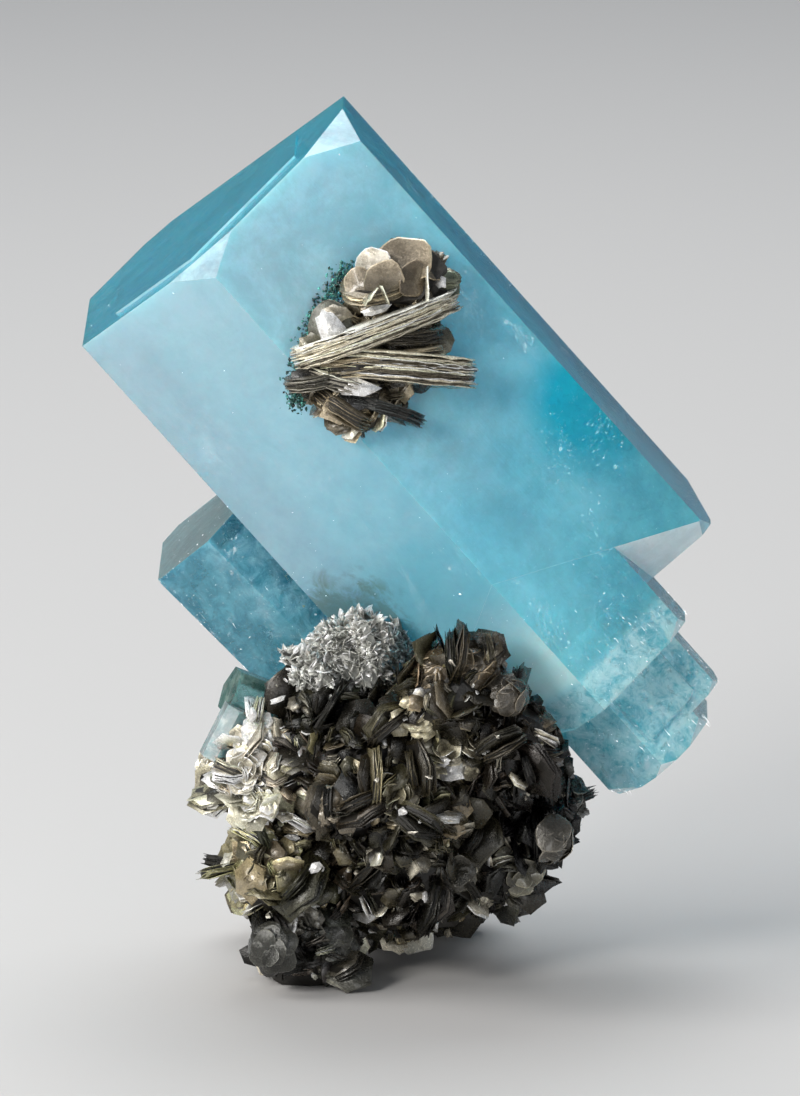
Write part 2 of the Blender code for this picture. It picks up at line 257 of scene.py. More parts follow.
def close_finish(pen, surface, volume=None):
    """Ends a tree: its surface shader, and what fills the space inside."""
    out = pen.tree.nodes.new("ShaderNodeOutputMaterial")
    pen.tree.links.new(surface.socket, out.inputs["Surface"])
    if volume is not None:
        pen.tree.links.new(volume.socket, out.inputs["Volume"])


print("shader helper ready")

# %% Sky
sky = bpy.data.worlds.new("studio")
sky.use_nodes = True
pen = Wire(sky.node_tree)
height = pen.node("ShaderNodeTexCoord").dot((0, 0, 1))
backdrop = sky.node_tree.nodes["Background"]
sky_colour = height.step(-0.1, 1.0).blend(SKY_LOW, SKY_HIGH)
sky.node_tree.links.new(sky_colour.socket, backdrop.inputs["Color"])
bpy.context.scene.world = sky
print("sky ready")

# %% [markdown]
# ## The crystals' own directions
# Growth lines, clouds and veils all follow the long axis of the crystal they are in. The big crystal
# leans to the left, so its finish works with three directions of its own: along it, to its right
# and to its front. The side faces lie every 60 degrees round that axis.

# %% Directions of the big crystal
HEART = np.array((-3.29, 8.66, 102.0))     # mm, the middle of the big crystal
BIG_LEAN = math.radians(41.4)
PRISM_TURN = math.radians(1.0)
ALONG = np.array((-math.sin(BIG_LEAN), 0.0, math.cos(BIG_LEAN)))
RIGHT = np.array((math.cos(BIG_LEAN), 0.0, math.sin(BIG_LEAN)))
FRONT = np.array((0.0, -1.0, 0.0))


def unit(vectors):
    """The same directions, one long."""
    return vectors / np.linalg.norm(vectors, axis=-1, keepdims=True)


def side_way(degrees):
    """The direction this many degrees round the big crystal, from its right towards its front."""
    angle = PRISM_TURN + math.radians(degrees)
    return math.cos(angle) * RIGHT + math.sin(angle) * FRONT


FACE_FRONT_RIGHT = side_way(60)
FACE_FRONT_LEFT = side_way(120)
FACE_STRIP = side_way(0)
FACE_RIGHT = np.cross(ALONG, FACE_FRONT_RIGHT)     # to the right on the front right face
print("front left face looks", np.round(FACE_FRONT_LEFT, 2))

# %% [markdown]
# ## The clear crystals
# Aquamarine is coloured all through by iron, so a thick place is bluer than a thin one. A Volume
# Absorption does exactly that. The surface is a glass with beryl's index, mixed with a pale milky
# shader where tiny trapped bubbles scatter the light: drifting clouds, streaks along the axis and a
# whiter front left face, which is partly frosting and partly a painted reflection. The mix factor
# carries those patterns, in the object's own coordinates.

# %% Colours of the crystals
BERYL_INDEX = 1.575
ABSORPTION = (0.02, 0.87, 0.96)        # the colour left after a long way through
DENSITY = 42.0                         # per metre
GLASS_TINT = (0.90, 0.98, 0.99)
PALE_MILK = (0.53, 0.82, 0.92)
DEEP_MILK = (0.010, 0.68, 0.90)
GREY_MILK = (0.22, 0.33, 0.34)         # the worn top of the lower left crystal
# White for the flecks, and for the two small corner faces at the foot, which are partly frosting and
# partly a painted reflection of the lights they mirror.
WHITE_FLECK_AND_SHEEN_MILK = (0.80, 0.90, 0.95)        # worn corner faces
INK_MILK = (0.030, 0.22, 0.33)         # the lower left crystal's depths and its wisps
WISP_MILK = (0.30, 0.56, 0.67)
GREEN_MILK = (0.30, 0.86, 0.95)        # towards the foot
# Painted light: a pale colour that lifts the mica's cast shadow off the front left face beside the
# mica.
SHADOW_LIFT_MILK = (0.62, 0.93, 1.0)           # the front left face beside the mica
PATCH_MILK = (0.016, 0.075, 0.12)      # a dark growth patch at the lower left crystal's top
HAZE_MILK = (0.17, 0.21, 0.115)        # green dust above the silvery ball
FOOT_MILK = (0.64, 0.92, 0.97)         # the worn crystals at the foot, and their clear places
FOOT_DEEP = (0.10, 0.46, 0.56)
# Painted shade on the front left face: its colour darkened a little at its top and more lower down.
LEFT_TOP_PAINTED_SHADE = (0.98, 0.88, 0.87)     # what the front left face makes of a colour, at its top
LEFT_LOW_PAINTED_SHADE = (0.72, 0.76, 0.78)     # and lower down
EDGE_TONE = (0.40, 0.66, 0.72)         # and the lower left crystal's outer edge
POOL_MIDDLE = (36.0, -8.0, 109.0)      # mm, the bluest place of the front right face
HAZE_MIDDLE = (-12.0, -18.3, 64.5)     # mm, where mica and green dust cloud the crystal
HEART_RIGHT = float(HEART @ RIGHT)
HEART_ALONG = float(HEART @ ALONG)
# The corner faces painted white, partly frosting and partly a painted reflection.
FROST_AND_SHEEN_FACETS = [unit(side_way(turn) - ALONG) for turn in (90, 30)]    # where worn corners look
print("heart lies", round(HEART_RIGHT, 1), "mm to the right and", round(HEART_ALONG, 1), "mm along")

# %% [markdown]
# The big crystal's milk is not the same all over. The front left face is whiter, partly frosting and
# partly a painted reflection, with painted shade darkening its colour, more so lower down, and
# painted light lifting the mica's shadow beside the mica. The right side is a deep blue, and the
# grazing right strip is painted deeper as a painted dark reflection. The lower left crystal is dark
# and full of wisps, and the foot is greyer with worn, flecked faces; its two small corner faces are
# white, partly frosting and partly a painted reflection of the lights they mirror. Each of those is
# a share from 0 to 1 that follows from a point's place and from the way its face looks, and one
# colour after the other is laid over with it.

# %% The big crystal's places, milk and colour

def looks(facing, way):
    """1 on the faces that look this way and 0 on the others."""
    return facing.dot(way).step(0.93, 0.99)


def places_on_the_big_crystal(place, facing):
    """Where a point lies: mm to the left and down the axis, and a share from 0 to 1 for each face,
    region and pattern."""
    at = SimpleNamespace(left=HEART_RIGHT - place.dot(RIGHT), down=HEART_ALONG - place.dot(ALONG))
    at.lower_left = at.left.step(29.9, 31.0)
    at.front_left = looks(facing, FACE_FRONT_LEFT) * (1 - at.lower_left)
    at.front_right = looks(facing, FACE_FRONT_RIGHT) * (1 - at.lower_left)
    at.top = looks(facing, ALONG)
    at.strip = looks(facing, FACE_STRIP)
    at.foot_end = at.down.step(54.5, 57.0)
    # The corner faces at the foot: partly frosting, partly a painted reflection.
    at.foot_facet = facing.dot(FROST_AND_SHEEN_FACETS[0]).step(0.95, 0.99)
    at.foot_facet = at.foot_facet + facing.dot(FROST_AND_SHEEN_FACETS[1]).step(0.95, 0.99) * 0.5
    drift = place.noise(0.06, 5, 0.6) * 40 - 20
    rightwards = (place.dot((1, 0, 0)) + drift).step(-30.0, 54.0)
    pool = 1 - place.distance(POOL_MIDDLE).step(5.0, 17.0)
    at.deep = (rightwards * 0.75 - at.down.step(10.0, 50.0) * 0.15 + pool * 0.45).clipped()
    at.wisps = place.noise(0.30, 8, 0.72, 0.5).step(0.40, 0.68)
    at.patches = place.noise(0.10, 4, 0.60, 0.8).step(0.42, 0.60)
    worn = (at.lower_left * 0.6 + at.foot_end + at.front_right * at.deep * 0.25 + 0.06).clipped()
    at.flecks = place.noise(1.0, 10, 0.80, 0.6).step(0.58, 0.65) * worn
    at.pits = place.noise(0.45, 9, 0.75, 0.8).step(0.54, 0.64) * worn
    return at


def milk_of_the_big_crystal(place, at, milk, mottle):
    """The milk's share: more on the front left face, partly frosting and partly a painted
    reflection, and beside the mica as painted light, more at the foot, on the corner faces and in
    the flecks, less where the crystal is deep blue, to the right, on the right strip and in the
    pits."""
    milk = milk * (1.25 - at.deep * 0.80) + mottle * 0.08
    # The front left face gets more milk: partly frosting, partly a painted reflection of the pale
    # floor and lights.
    milk = milk - at.front_left * (milk * 0.75 - 0.46) - at.front_right * (milk * 0.35 - 0.42)
    milk = milk - place.dot((1, 0, 0)).step(30.0, 44.0) * 0.16 - at.strip * 0.20
    # Painted light: more milk on the front left face beside the mica, against the mica's shadow.
    milk = milk + at.down.step(30.0, 50.0) * (1 - at.foot_end) * at.front_left * 0.25
    milk = milk + at.top * (0.26 - milk * 0.8) + at.foot_end * 0.35
    milk = milk + at.lower_left * (at.wisps * 0.20 + at.top * 0.25 + 0.50 - milk)
    milk = milk + at.flecks * 0.45 - at.pits * 0.25
    # The corner faces get more milk, partly frosting and partly a painted reflection.
    return (milk + at.foot_facet * 0.7).clipped(0.05, 0.92)


def colour_of_the_big_crystal(place, at, pale, deep):
    """The milk's colour: pale to deep, then the colour of each region laid over it in turn. Some of
    them are painted light: shade and light on the front left face, a dark reflection on the right
    strip, and white on the corner faces, partly frosting.
    """
    # The grazing right strip is painted deeper blue: a painted dark reflection.
    deep_and_painted_shade = at.deep + at.strip * 0.9 + at.top * 0.75 - at.foot_end * 0.10
    shade = deep_and_painted_shade.clipped().blend(pale, deep)
    shade = (at.down.step(8.0, 70.0) * 0.75).blend(shade, GREEN_MILK)
    shade = (at.foot_end * 0.8).blend(shade, at.wisps.blend(FOOT_MILK, FOOT_DEEP))
    # Painted shade on the front left face, more lower down; beside the mica, painted light lifts the
    # mica's shadow.
    painted_shade_fade = at.down.step(-50.0, 30.0)
    left_painted_light = painted_shade_fade.blend(shade.times(LEFT_TOP_PAINTED_SHADE), shade.times(LEFT_LOW_PAINTED_SHADE))
    left_painted_light = (at.down.step(22.0, 50.0) * (1 - at.foot_end)).blend(left_painted_light, SHADOW_LIFT_MILK)
    shade = at.front_left.blend(shade, left_painted_light)
    inky = (at.wisps * 0.55 + at.patches * 0.6).clipped().blend(INK_MILK, WISP_MILK)
    inky = at.left.step(34.0, 44.0).blend(inky, inky.times(EDGE_TONE))
    shade = at.lower_left.blend(shade, inky)
    dark_patch = (1 - at.left.step(36.6, 37.8)) * (1 - at.down.step(-5.2, -4.0)) * at.lower_left
    shade = (dark_patch * 0.8).blend(shade, PATCH_MILK)
    shade = (at.lower_left * at.top).blend(shade, GREY_MILK)
    near_ball = place.distance(HAZE_MIDDLE) + at.patches * 3.0 + at.wisps * 2.0
    haze = (1 - near_ball.step(13.0, 18.0)) * (1 - at.top)
    shade = (haze * 0.75).blend(shade, HAZE_MILK)
    shade = (at.flecks * 0.8).blend(shade, WHITE_FLECK_AND_SHEEN_MILK)
    # The corner faces are painted white, partly frosting and partly a painted reflection.
    return at.foot_facet.clipped().blend(shade, WHITE_FLECK_AND_SHEEN_MILK)


# %% Beryl
def beryl_finish(name, milk_least, milk_most, pale, deep, density, big=False):
    """Glass mixed with milk: factor = least + (most - least) x clouds. The milk's colour runs from
    pale to deep with the clouds, or by place and face on the big crystal."""
    material, pen = new_finish(name)
    place = place_in_mm(pen)
    facing = pen.node("ShaderNodeTexCoord", output="Normal")
    rods = pen.node("ShaderNodeCombineXYZ", None, {
        0: place.dot(RIGHT) * 0.8, 1: place.dot(FRONT) * 0.8, 2: place.dot(ALONG) * 0.045})
    clouds = place.noise(0.085, 8, 0.68, 0.25).step(0.36, 0.66)
    mottle = place.noise(0.42, 6, 0.72, 0.4).step(0.42, 0.72)
    milk = clouds * (milk_most - milk_least) + milk_least
    if big:
        at = places_on_the_big_crystal(place, facing)
        milk = milk_of_the_big_crystal(place, at, milk, mottle)
        shade = colour_of_the_big_crystal(place, at, pale, deep)
    else:
        shade = mottle.blend(deep, pale)
    lines = rods.noise(3.2, 5, 0.7)
    bump = bumped(pen, 0.12, 0.4, lines)
    glass = pen.node("ShaderNodeBsdfPrincipled", None, {
        "Base Color": (*GLASS_TINT, 1), "Roughness": 0.02, "IOR": BERYL_INDEX,
        "Transmission Weight": 1.0, "Normal": bump})
    milky = pen.node("ShaderNodeBsdfPrincipled", None, {
        "Base Color": shade, "Roughness": 0.20, "IOR": BERYL_INDEX,
        "Normal": bump, "Subsurface Weight": 0.7, "Subsurface Scale": 0.006,
        "Subsurface Radius": (0.25, 0.9, 1.0)})
    surface = pen.node("ShaderNodeMixShader", None, {0: milk, 1: glass, 2: milky})
    inside = pen.node("ShaderNodeVolumeAbsorption", None, {
        "Color": (*ABSORPTION, 1), "Density": density})
    close_finish(pen, surface, inside)
    return material


aquamarine = beryl_finish("aquamarine", 0.22, 0.50, PALE_MILK, DEEP_MILK, DENSITY, big=True)
green_beryl = beryl_finish("green beryl", 0.45, 0.75, (0.36, 0.48, 0.43), (0.09, 0.19, 0.165), 90.0)
pale_beryl = beryl_finish("pale beryl", 0.40, 0.70, (0.80, 0.86, 0.86), (0.36, 0.46, 0.47), 20.0)
nodes["aquamarine_crystals"].material_slots[0].material = aquamarine
nodes["small_green_crystal"].material_slots[0].material = green_beryl
nodes["small_pale_crystal"].material_slots[0].material = pale_beryl
print("finishes:", [m.name for m in bpy.data.materials])

# %% [markdown]
# ## The mica's finish
# Muscovite splits into leaves thinner than paper. Their flats are pearly, so they take a little
# metal and a clear coat, and their colour runs from cream to olive, grey and brown. Each leaf gets
# its own tint as a colour attribute, and the shader adds fine specks and sheen on top of it.

# %% Mica finish
MICA_INDEX = 1.60
SILVER_TINT = (0.34, 0.345, 0.32)      # the silvery ball under the crystal
BALL_MIDDLE = (-8.5, -18.3, 63.2)      # mm
BALL_REACH = 12.5
SILVER_MIDDLE = (-7.0, -22.0, 67.0)    # mm, where the core is silvery too
SILVER_REACH = 11.5


def mica_finish(name, tint, metal, gloss, coat, silver=None):
    """Pearly leaf: the tint, darkened by stains, with the roughness wandering round gloss."""
    material, pen = new_finish(name)
    place = place_in_mm(pen)
    if tint is None:
        tint = leaf_tint(pen)
    else:
        tint = place.noise(0.25, 4).step(0.35, 0.65).blend(tuple(0.4 * c for c in tint), tint)
    if silver is not None:
        away = place.distance(SILVER_MIDDLE)
        tint = away.step(SILVER_REACH, SILVER_REACH + 1.5).blend(silver, tint)
    stains = place.noise(0.7, 5, 0.65).step(0.40, 0.72)
    specks = place.noise(3.0, 3, 0.6).step(0.55, 0.75)
    colour = (stains * 0.6).blend(tint, tint.times((0.36, 0.32, 0.25)))
    colour = (specks * 0.5).blend(colour, tint.times((2.0, 1.95, 1.85)))
    rough = place.noise(1.7, 3) * 0.3 + (gloss - 0.15)
    relief = place.noise(1.6, 5, 0.65)
    bump = bumped(pen, 0.5, 0.3, relief)
    leaf = pen.node("ShaderNodeBsdfPrincipled", None, {
        "Base Color": colour, "Metallic": metal, "Roughness": rough, "IOR": MICA_INDEX,
        "Coat Weight": tint.dot((2, 2, 2)).clipped(0.05, 1.0) * coat, "Coat Roughness": 0.10,
        "Normal": bump})
    close_finish(pen, leaf)
    return material


leaf_finish = mica_finish("mica leaves", None, 0.35, 0.26, 0.8)
core_finish = mica_finish("mica core", (0.022, 0.019, 0.014), 0.1, 0.5, 0.1, SILVER_TINT)
cluster_core_finish = mica_finish("cluster core", (0.03, 0.026, 0.02), 0.1, 0.5, 0.1)
nodes["muscovite_matrix"].material_slots[0].material = core_finish
nodes["muscovite_cluster"].material_slots[0].material = cluster_core_finish
print("mica finishes ready")

# %% [markdown]
# ## Where the mica books are
# The frame holds a lumpy core with fans of six-sided mica books. Their places follow from a few
# numbers and a fixed seed, so the same short recipe is repeated here to know each book's corners,
# its flat direction and its thickness. That is what the leaves are then wrapped round.

# %% The core's lumps and its books
# Centre from the big crystal's middle, then the half sizes across, deep and high, in mm, and the
# tint of the mica that grows there.
CORE_LUMPS = {
    "body": ((2, -11, -70), (25, 25, 25), (0.020, 0.017, 0.010)),
    "upper left": ((-21.5, -26, -61), (9.4, 11, 9.6), (0.44, 0.40, 0.30)),
    "lower left": ((-19, -25, -80.5), (9.4, 11, 9), (0.13, 0.115, 0.065)),
    "foot": ((-14.4, -24, -95), (8.6, 10.5, 10.5), (0.028, 0.026, 0.021)),
    "front bottom": ((3.5, -19, -82.5), (15, 15, 8), (0.022, 0.019, 0.013)),
    "right bottom": ((19, -15, -80.5), (11, 13, 9), (0.024, 0.021, 0.016)),
    "right": ((27.5, -18, -70), (7.4, 12, 10), (0.010, 0.010, 0.009)),
    "upper right": ((23, -37, -54), (8.8, 9, 9.5), (0.022, 0.018, 0.012)),
    "upper middle": ((12.5, -41, -42.5), (8.8, 8, 7.6), (0.026, 0.022, 0.012)),
    "front": ((2, -35, -62), (15, 11, 15), (0.040, 0.034, 0.020)),
    "rosette": ((-5.2, -27, -38.8), (9.2, 7.5, 6.8), (0.20, 0.20, 0.18)),
    "under rosette": ((-6, -26, -50), (12, 9, 9), (0.014, 0.013, 0.008)),
    "rear": ((-3, 14, -86), (19, 14, 21), (0.05, 0.043, 0.03)),
}
FANS = 74
BOOKS_IN_FAN = 2
FAN_SPREAD = 34.0
BOOK_RADIUS = (3.4, 6.2)
BOOK_THICKNESS = (0.9, 1.7)
BOOK_STANDS_OUT = 0.42
FAN_CLEARANCE = 5.0
LOWEST_FAN = 3.0
STEEPEST_FAN = -0.62
FAN_SEED = 11


def book_rim(centre, flat_side, long_way, half_length, half_width, rng):
    """The six uneven corners of a book's middle sheet, and the direction its flat side looks in."""
    up = flat_side.normalized()
    along = (long_way - long_way.dot(up) * up).normalized()
    across = up.cross(along)
    corners = []
    for corner in range(6):
        angle = math.radians(60 * corner + rng.uniform(-7, 7))
        reach = rng.uniform(0.9, 1.1)
        flat = half_length * math.cos(angle) * along + half_width * math.sin(angle) * across
        corners.append(centre + reach * flat)
    return corners, up


def random_direction(rng):
    """A direction anywhere on the sphere, all equally likely."""
    height = rng.uniform(-1, 1)
    angle = rng.uniform(0, 2 * math.pi)
    ring = math.sqrt(1 - height * height)
    return Vector((ring * math.cos(angle), ring * math.sin(angle), height))


def depth_in(point, centre, half_sizes):
    """Under 1 inside the lump's plain ellipsoid, 1 on it and more outside."""
    return Vector((p - c) / h for p, c, h in zip(point, centre, half_sizes)).length


def fan_places(rng):
    """Yields a (point, outward direction) on the outside of the core, spread over its lumps."""
    heart = Vector(HEART)
    lumps = [(heart + Vector(centre), Vector(sizes)) for centre, sizes, _ in CORE_LUMPS.values()]
    weights = [s.x * s.y + s.y * s.z + s.z * s.x for _, s in lumps]
    placed = []
    while True:
        centre, sizes = rng.choices(lumps, weights)[0]
        way = random_direction(rng)
        point = centre + Vector(a * b for a, b in zip(way, sizes))
        outward = Vector(a / b for a, b in zip(way, sizes)).normalized()
        buried = any(depth_in(point, other, size) < 0.97 for other, size in lumps
                     if other != centre)
        crowded = any((point - other).length < FAN_CLEARANCE for other in placed)
        under = point.z < LOWEST_FAN or outward.z < STEEPEST_FAN
        if buried or crowded or under:
            continue
        placed.append(point)
        yield point, outward


def fan_books(rng):
    """The corners, flat direction and thickness of each book of the fans."""
    places = fan_places(rng)
    books = []
    for _ in range(FANS):
        point, outward = next(places)
        hinge = outward.cross(random_direction(rng)).normalized()
        for index in range(BOOKS_IN_FAN):
            angle = FAN_SPREAD * (index / (BOOKS_IN_FAN - 1) - 0.5) + rng.uniform(-6, 6)
            spoke = Matrix.Rotation(math.radians(angle), 3, hinge) @ outward
            radius = rng.uniform(*BOOK_RADIUS)
            width = radius * rng.uniform(0.8, 1.15)
            centre = point + spoke * radius * BOOK_STANDS_OUT
            corners, up = book_rim(centre, hinge.cross(spoke), spoke, radius, width, rng)
            books.append((corners, up, rng.uniform(*BOOK_THICKNESS)))
    return books


def as_arrays(books):
    """A list of books as arrays: corners (n, 6, 3), flat directions (n, 3), thickness (n)."""
    corners = np.array([[tuple(p) for p in book[0]] for book in books])
    flats = np.array([tuple(book[1]) for book in books])
    return corners, flats, np.array([book[2] for book in books])


matrix_books = as_arrays(fan_books(random.Random(FAN_SEED)))
print("books on the matrix:", len(matrix_books[0]))

# %% [markdown]
# The mica must not run into the clear crystals, where it would show through. Each crystal is the
# space behind its flat faces, so a point's depth in it is its least distance to those faces. The
# six side faces and the two ends of the crystals that touch the mica are enough for that.

# %% How deep a point is in the crystals
# Lean in degrees, centre from the heart, six side distances, distances of top and foot, in mm.
NEAR_CRYSTALS = (
    (41.4, (0, 0, 0), (35.6, 31.2, 30.5, 29.7, 37.1, 24.6), 52.0, 53.7),
    (41.4, (0, 0, 0), (21.0, 31.17, 30.47, 9.6, 5.0, 0.9), 10.0, 63.0),
    (41.4, (0, 0, 0), (10.9, 24.0, 23.5, 11.3, 8.0, 6.0), 0.0, 81.0),
    (41.4, (0, 0, 0), (17.2, 24.0, 22.0, 4.0, 9.0, 0.4), 0.0, 76.7),
    (44.3, (-33.1, 8.0, -19.1), (16.0, 18.9, 18.8, 13.5, 23.3, 14.0), 0.0, 52.0),
    (66.0, (-24.6, -19.5, -48.9), (4.4, 4.1, 4.6, 4.0, 4.4, 4.4), 5.2, 7.5),
    (-27.0, (-29.2, -25.5, -53.2), (2.9, 2.6, 3.0, 2.8, 3.0, 3.0), 4.4, 6.5),
)


def depth_in_crystals(points):
    """mm below the nearest crystal face for points (..., 3): positive inside, negative outside."""
    deepest = np.full(points.shape[:-1], -1e9)
    for lean, centre, sides, top, foot in NEAR_CRYSTALS:
        tilt = math.radians(lean)
        along = np.array((-math.sin(tilt), 0.0, math.cos(tilt)))
        right = np.array((math.cos(tilt), 0.0, math.sin(tilt)))
        angles = PRISM_TURN + np.radians(60.0 * np.arange(6))
        normals = np.outer(np.cos(angles), right) + np.outer(np.sin(angles), FRONT)
        normals = np.vstack([normals, along, -along])
        reach = np.array((*sides, top, foot))
        room = reach - (points - HEART - np.array(centre)) @ normals.T
        deepest = np.maximum(deepest, room.min(axis=-1))
    return deepest


print("depth of the heart:", round(float(depth_in_crystals(HEART[None])[0]), 1), "mm")

# %% [markdown]
# ## Leaves
# One leaf is a thin closed plate with a ragged rim of twelve points: the six corners of the crystal
# shape and a point between each two of them, nicked in or out. A book is a stack of such leaves.
# They are worked out for all books at once, as arrays, and each mesh takes thousands of them.

# %% Splitting books into leaves
LEAF_THICKNESS = 0.08      # mm
# Painted highlight: a leaf's rim is painted lighter than its middle, where light would catch its
# edge.
RIM_PAINTED_HIGHLIGHT = 2.3            # a leaf's rim is lighter than its middle
MIDDLE_PAINTED_SHADE = 0.55


def split_books(corners, flats, thickness, leaves, dice, reach=(1.02, 1.12), tilt=0.03, cover=0.08,
                curl=0.0, scatter=(0.93, 1.05)):
    """Leaf k lies at share k of the book's thickness: corner = middle + growth x (corner - middle),
    moved along the flat direction by the level, a small slope and a curl that all leaves of one
    book share: curl x (distance along the bend)^2. Gives corners, flats and each leaf's book."""
    count = len(corners)
    middle = corners.mean(axis=1)
    size = np.linalg.norm(corners - middle[:, None], axis=2).mean(axis=1)
    level = np.linspace(-0.5, 0.5, leaves)[None] * (thickness + 2 * cover)[:, None]
    growth = dice.uniform(*reach, (count, leaves, 1, 1))
    growth = growth * dice.uniform(*scatter, (count, leaves, 6, 1))
    arms = (corners - middle[:, None])[:, None] * growth
    slope = dice.normal(0, tilt, (count, leaves, 1, 3))
    lift = (arms * slope).sum(axis=-1) + level[:, :, None]
    bend_way = unit(dice.normal(size=(count, 1, 1, 3)))
    along_bend = (arms * bend_way).sum(axis=-1) / size[:, None, None]
    lift = lift + curl * dice.normal(size=(count, 1, 1)) * size[:, None, None] * along_bend ** 2
    shift = dice.normal(0, min(tilt, 0.03), (count, leaves, 1, 3)) * size[:, None, None, None]
    made = middle[:, None, None] + shift + arms + lift[..., None] * flats[:, None, None]
    owner = np.repeat(np.arange(count), leaves)
    return made.reshape(-1, 6, 3), flats[owner], owner


def six_arms(first, second, wobble, dice, narrow=None):
    """The ways to six corners: first x cos + second x sin, at every 60 degrees give or take the
    wobble. The second part is made a random share smaller, where narrow gives the range."""
    angles = np.radians(60.0 * np.arange(6)) + dice.uniform(-wobble, wobble, (len(first), 6))
    across = np.sin(angles)[..., None] * second[:, None]
    if narrow:
        across = across * dice.uniform(*narrow, (len(first), 1, 1))
    return np.cos(angles)[..., None] * first[:, None] + across


def ragged_rims(corners, dice, nick=(0.90, 1.07), rounds=1):
    """Points round a leaf: in each round, the middle of every side is put in after its first corner
    and moved by a nick, in or out from the leaf's middle. Later rounds first round the corners."""
    rims = corners
    for number in range(rounds):
        if number:
            rims = (2 * rims + np.roll(rims, 1, axis=1) + np.roll(rims, -1, axis=1)) / 4
        middle = rims.mean(axis=1, keepdims=True)
        halfway = (rims + np.roll(rims, -1, axis=1)) / 2
        halfway = middle + (halfway - middle) * dice.uniform(*nick, halfway.shape[:2])[..., None]
        rims = np.stack([rims, halfway], axis=2).reshape(len(rims), -1, 3)
    return rims


def repeated(pattern, stride, count):
    """The same triangles for each of count shapes that have stride points each."""
    return (pattern[None] + stride * np.arange(count)[:, None, None]).reshape(-1, 3)


def leaves_piece(name, corners, flats, tints, finish, slot_name, dice, thickness=LEAF_THICKNESS,
                 nick=(0.90, 1.07), warp=0.035, rounds=1):
    """A mesh of closed leaves, each with a painted highlight on its rim. A leaf's points: its two
    middles, then its upper and lower rim.
    """
    rims = ragged_rims(corners, dice, nick, rounds)
    count, sides = rims.shape[:2]
    half = (unit(flats) * thickness / 2)[:, None]
    middle = rims.mean(axis=1, keepdims=True)
    size = np.linalg.norm(rims - middle, axis=2).mean(axis=1)[:, None, None]
    middle = middle + flats[:, None] * size * dice.normal(0, 0.05, (count, 1, 1))
    rims = rims + flats[:, None] * size * dice.normal(0, warp, (count, sides, 1))
    points = np.concatenate([middle + half, middle - half, rims + half, rims - half], axis=1)
    here = np.arange(sides)
    after = np.roll(here, -1)
    upper, lower = 2 + here, 2 + sides + here
    upper_after, lower_after = 2 + after, 2 + sides + after
    triangles = np.concatenate([
        np.stack([0 * here, upper, upper_after], axis=1),
        np.stack([0 * here + 1, lower_after, lower], axis=1),
        np.stack([upper, lower, lower_after], axis=1),
        np.stack([upper, lower_after, upper_after], axis=1)])
    stride = points.shape[1]
    # The rim points are painted lighter than the middles: a painted highlight.
    painted_rim_light = np.full(stride, RIM_PAINTED_HIGHLIGHT)
    painted_rim_light[:2] = MIDDLE_PAINTED_SHADE
    painted_light = tints[:, None] * painted_rim_light[None, :, None]
    tinted_piece(name, points, repeated(triangles, stride, count), painted_light, finish, slot_name)


def tinted_piece(name, points_mm, faces, tints, finish, slot_name):
    """An object at the origin from points in mm, triangles and a tint for every point."""
    mesh = bpy.data.meshes.new(name)
    mesh.vertices.add(points_mm.size // 3)
    mesh.vertices.foreach_set("co", (points_mm * MM).astype(np.float32).ravel())
    mesh.loops.add(faces.size)
    mesh.loops.foreach_set("vertex_index", faces.astype(np.int32).ravel())
    mesh.polygons.add(len(faces))
    mesh.polygons.foreach_set("loop_start", np.arange(0, faces.size, 3, dtype=np.int32))
    mesh.update(calc_edges=True)
    layer = mesh.color_attributes.new("tint", "FLOAT_COLOR", "POINT")
    rgba = np.concatenate([tints, np.ones((*tints.shape[:-1], 1))], axis=-1)
    layer.data.foreach_set("color", rgba.clip(0, 1).astype(np.float32).ravel())
    mesh.materials.append(finish)
    piece = bpy.data.objects.new(name, mesh)
    bpy.context.scene.collection.objects.link(piece)
    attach(piece, "root")
    print(name, len(faces), "triangles")


# %% [markdown]
# ## Tints of the mica
# The mica's colour changes over the lump: cream leaves on the left shoulder, olive below them, grey
# near the foot, dark plates on the right and a bronze tone above. Each lump of the core has its own
# tint, and a book takes the tint of the lump whose skin it is nearest to, with some scatter. In the
# hollows between the lumps painted shade darkens the tints nearly to black.

# %% Tints by lump
LUMP_CENTRES, LUMP_SIZES, TINT_TABLE = map(np.array, zip(*CORE_LUMPS.values()))
LUMP_CENTRES = HEART + LUMP_CENTRES
WHITE_TINT = np.array((0.62, 0.57, 0.45))
HOLLOW_DARKNESS = 0.93     # the share of its light that the middle of a hollow loses
# Hollows between the lumps, where painted shade makes the mica nearly black: centre and size in mm.
SHADED_HOLLOWS = (((-7.4, -30, 51.5), 7.0), ((24.5, -24, 34.7), 12.5), ((-17.3, -29, 22.1), 5.0),
           ((19.8, -34, 59.1), 7.0), ((3.6, -31, 17.0), 7.0), ((9.0, -38, 26.0), 4.5),
           ((14.0, -40, 40.0), 4.5), ((-3.0, -40, 32.0), 5.0), ((32.0, -25, 22.0), 6.0),
           ((-10.0, -38, 40.0), 4.5), ((22.0, -33, 24.0), 6.0), ((-12.0, -38, 27.0), 3.5))


def nearest_lump(points):
    """For points (n, 3), the index of the lump with the least |(point - centre) / half sizes|."""
    reach = np.linalg.norm((points[:, None] - LUMP_CENTRES) / LUMP_SIZES, axis=2)
    return reach.argmin(axis=1)


def hollow_shade(points):
    """Painted shade: 1 away from the hollows, down to 0.07 in the middle of one, a bell curve of the
    distance.
    """
    shade = np.ones(len(points))
    for centre, size in SHADED_HOLLOWS:
        distance = np.linalg.norm(points - np.array(centre), axis=1)
        shade *= 1 - HOLLOW_DARKNESS * np.exp(-(distance / size) ** 2)
    return shade


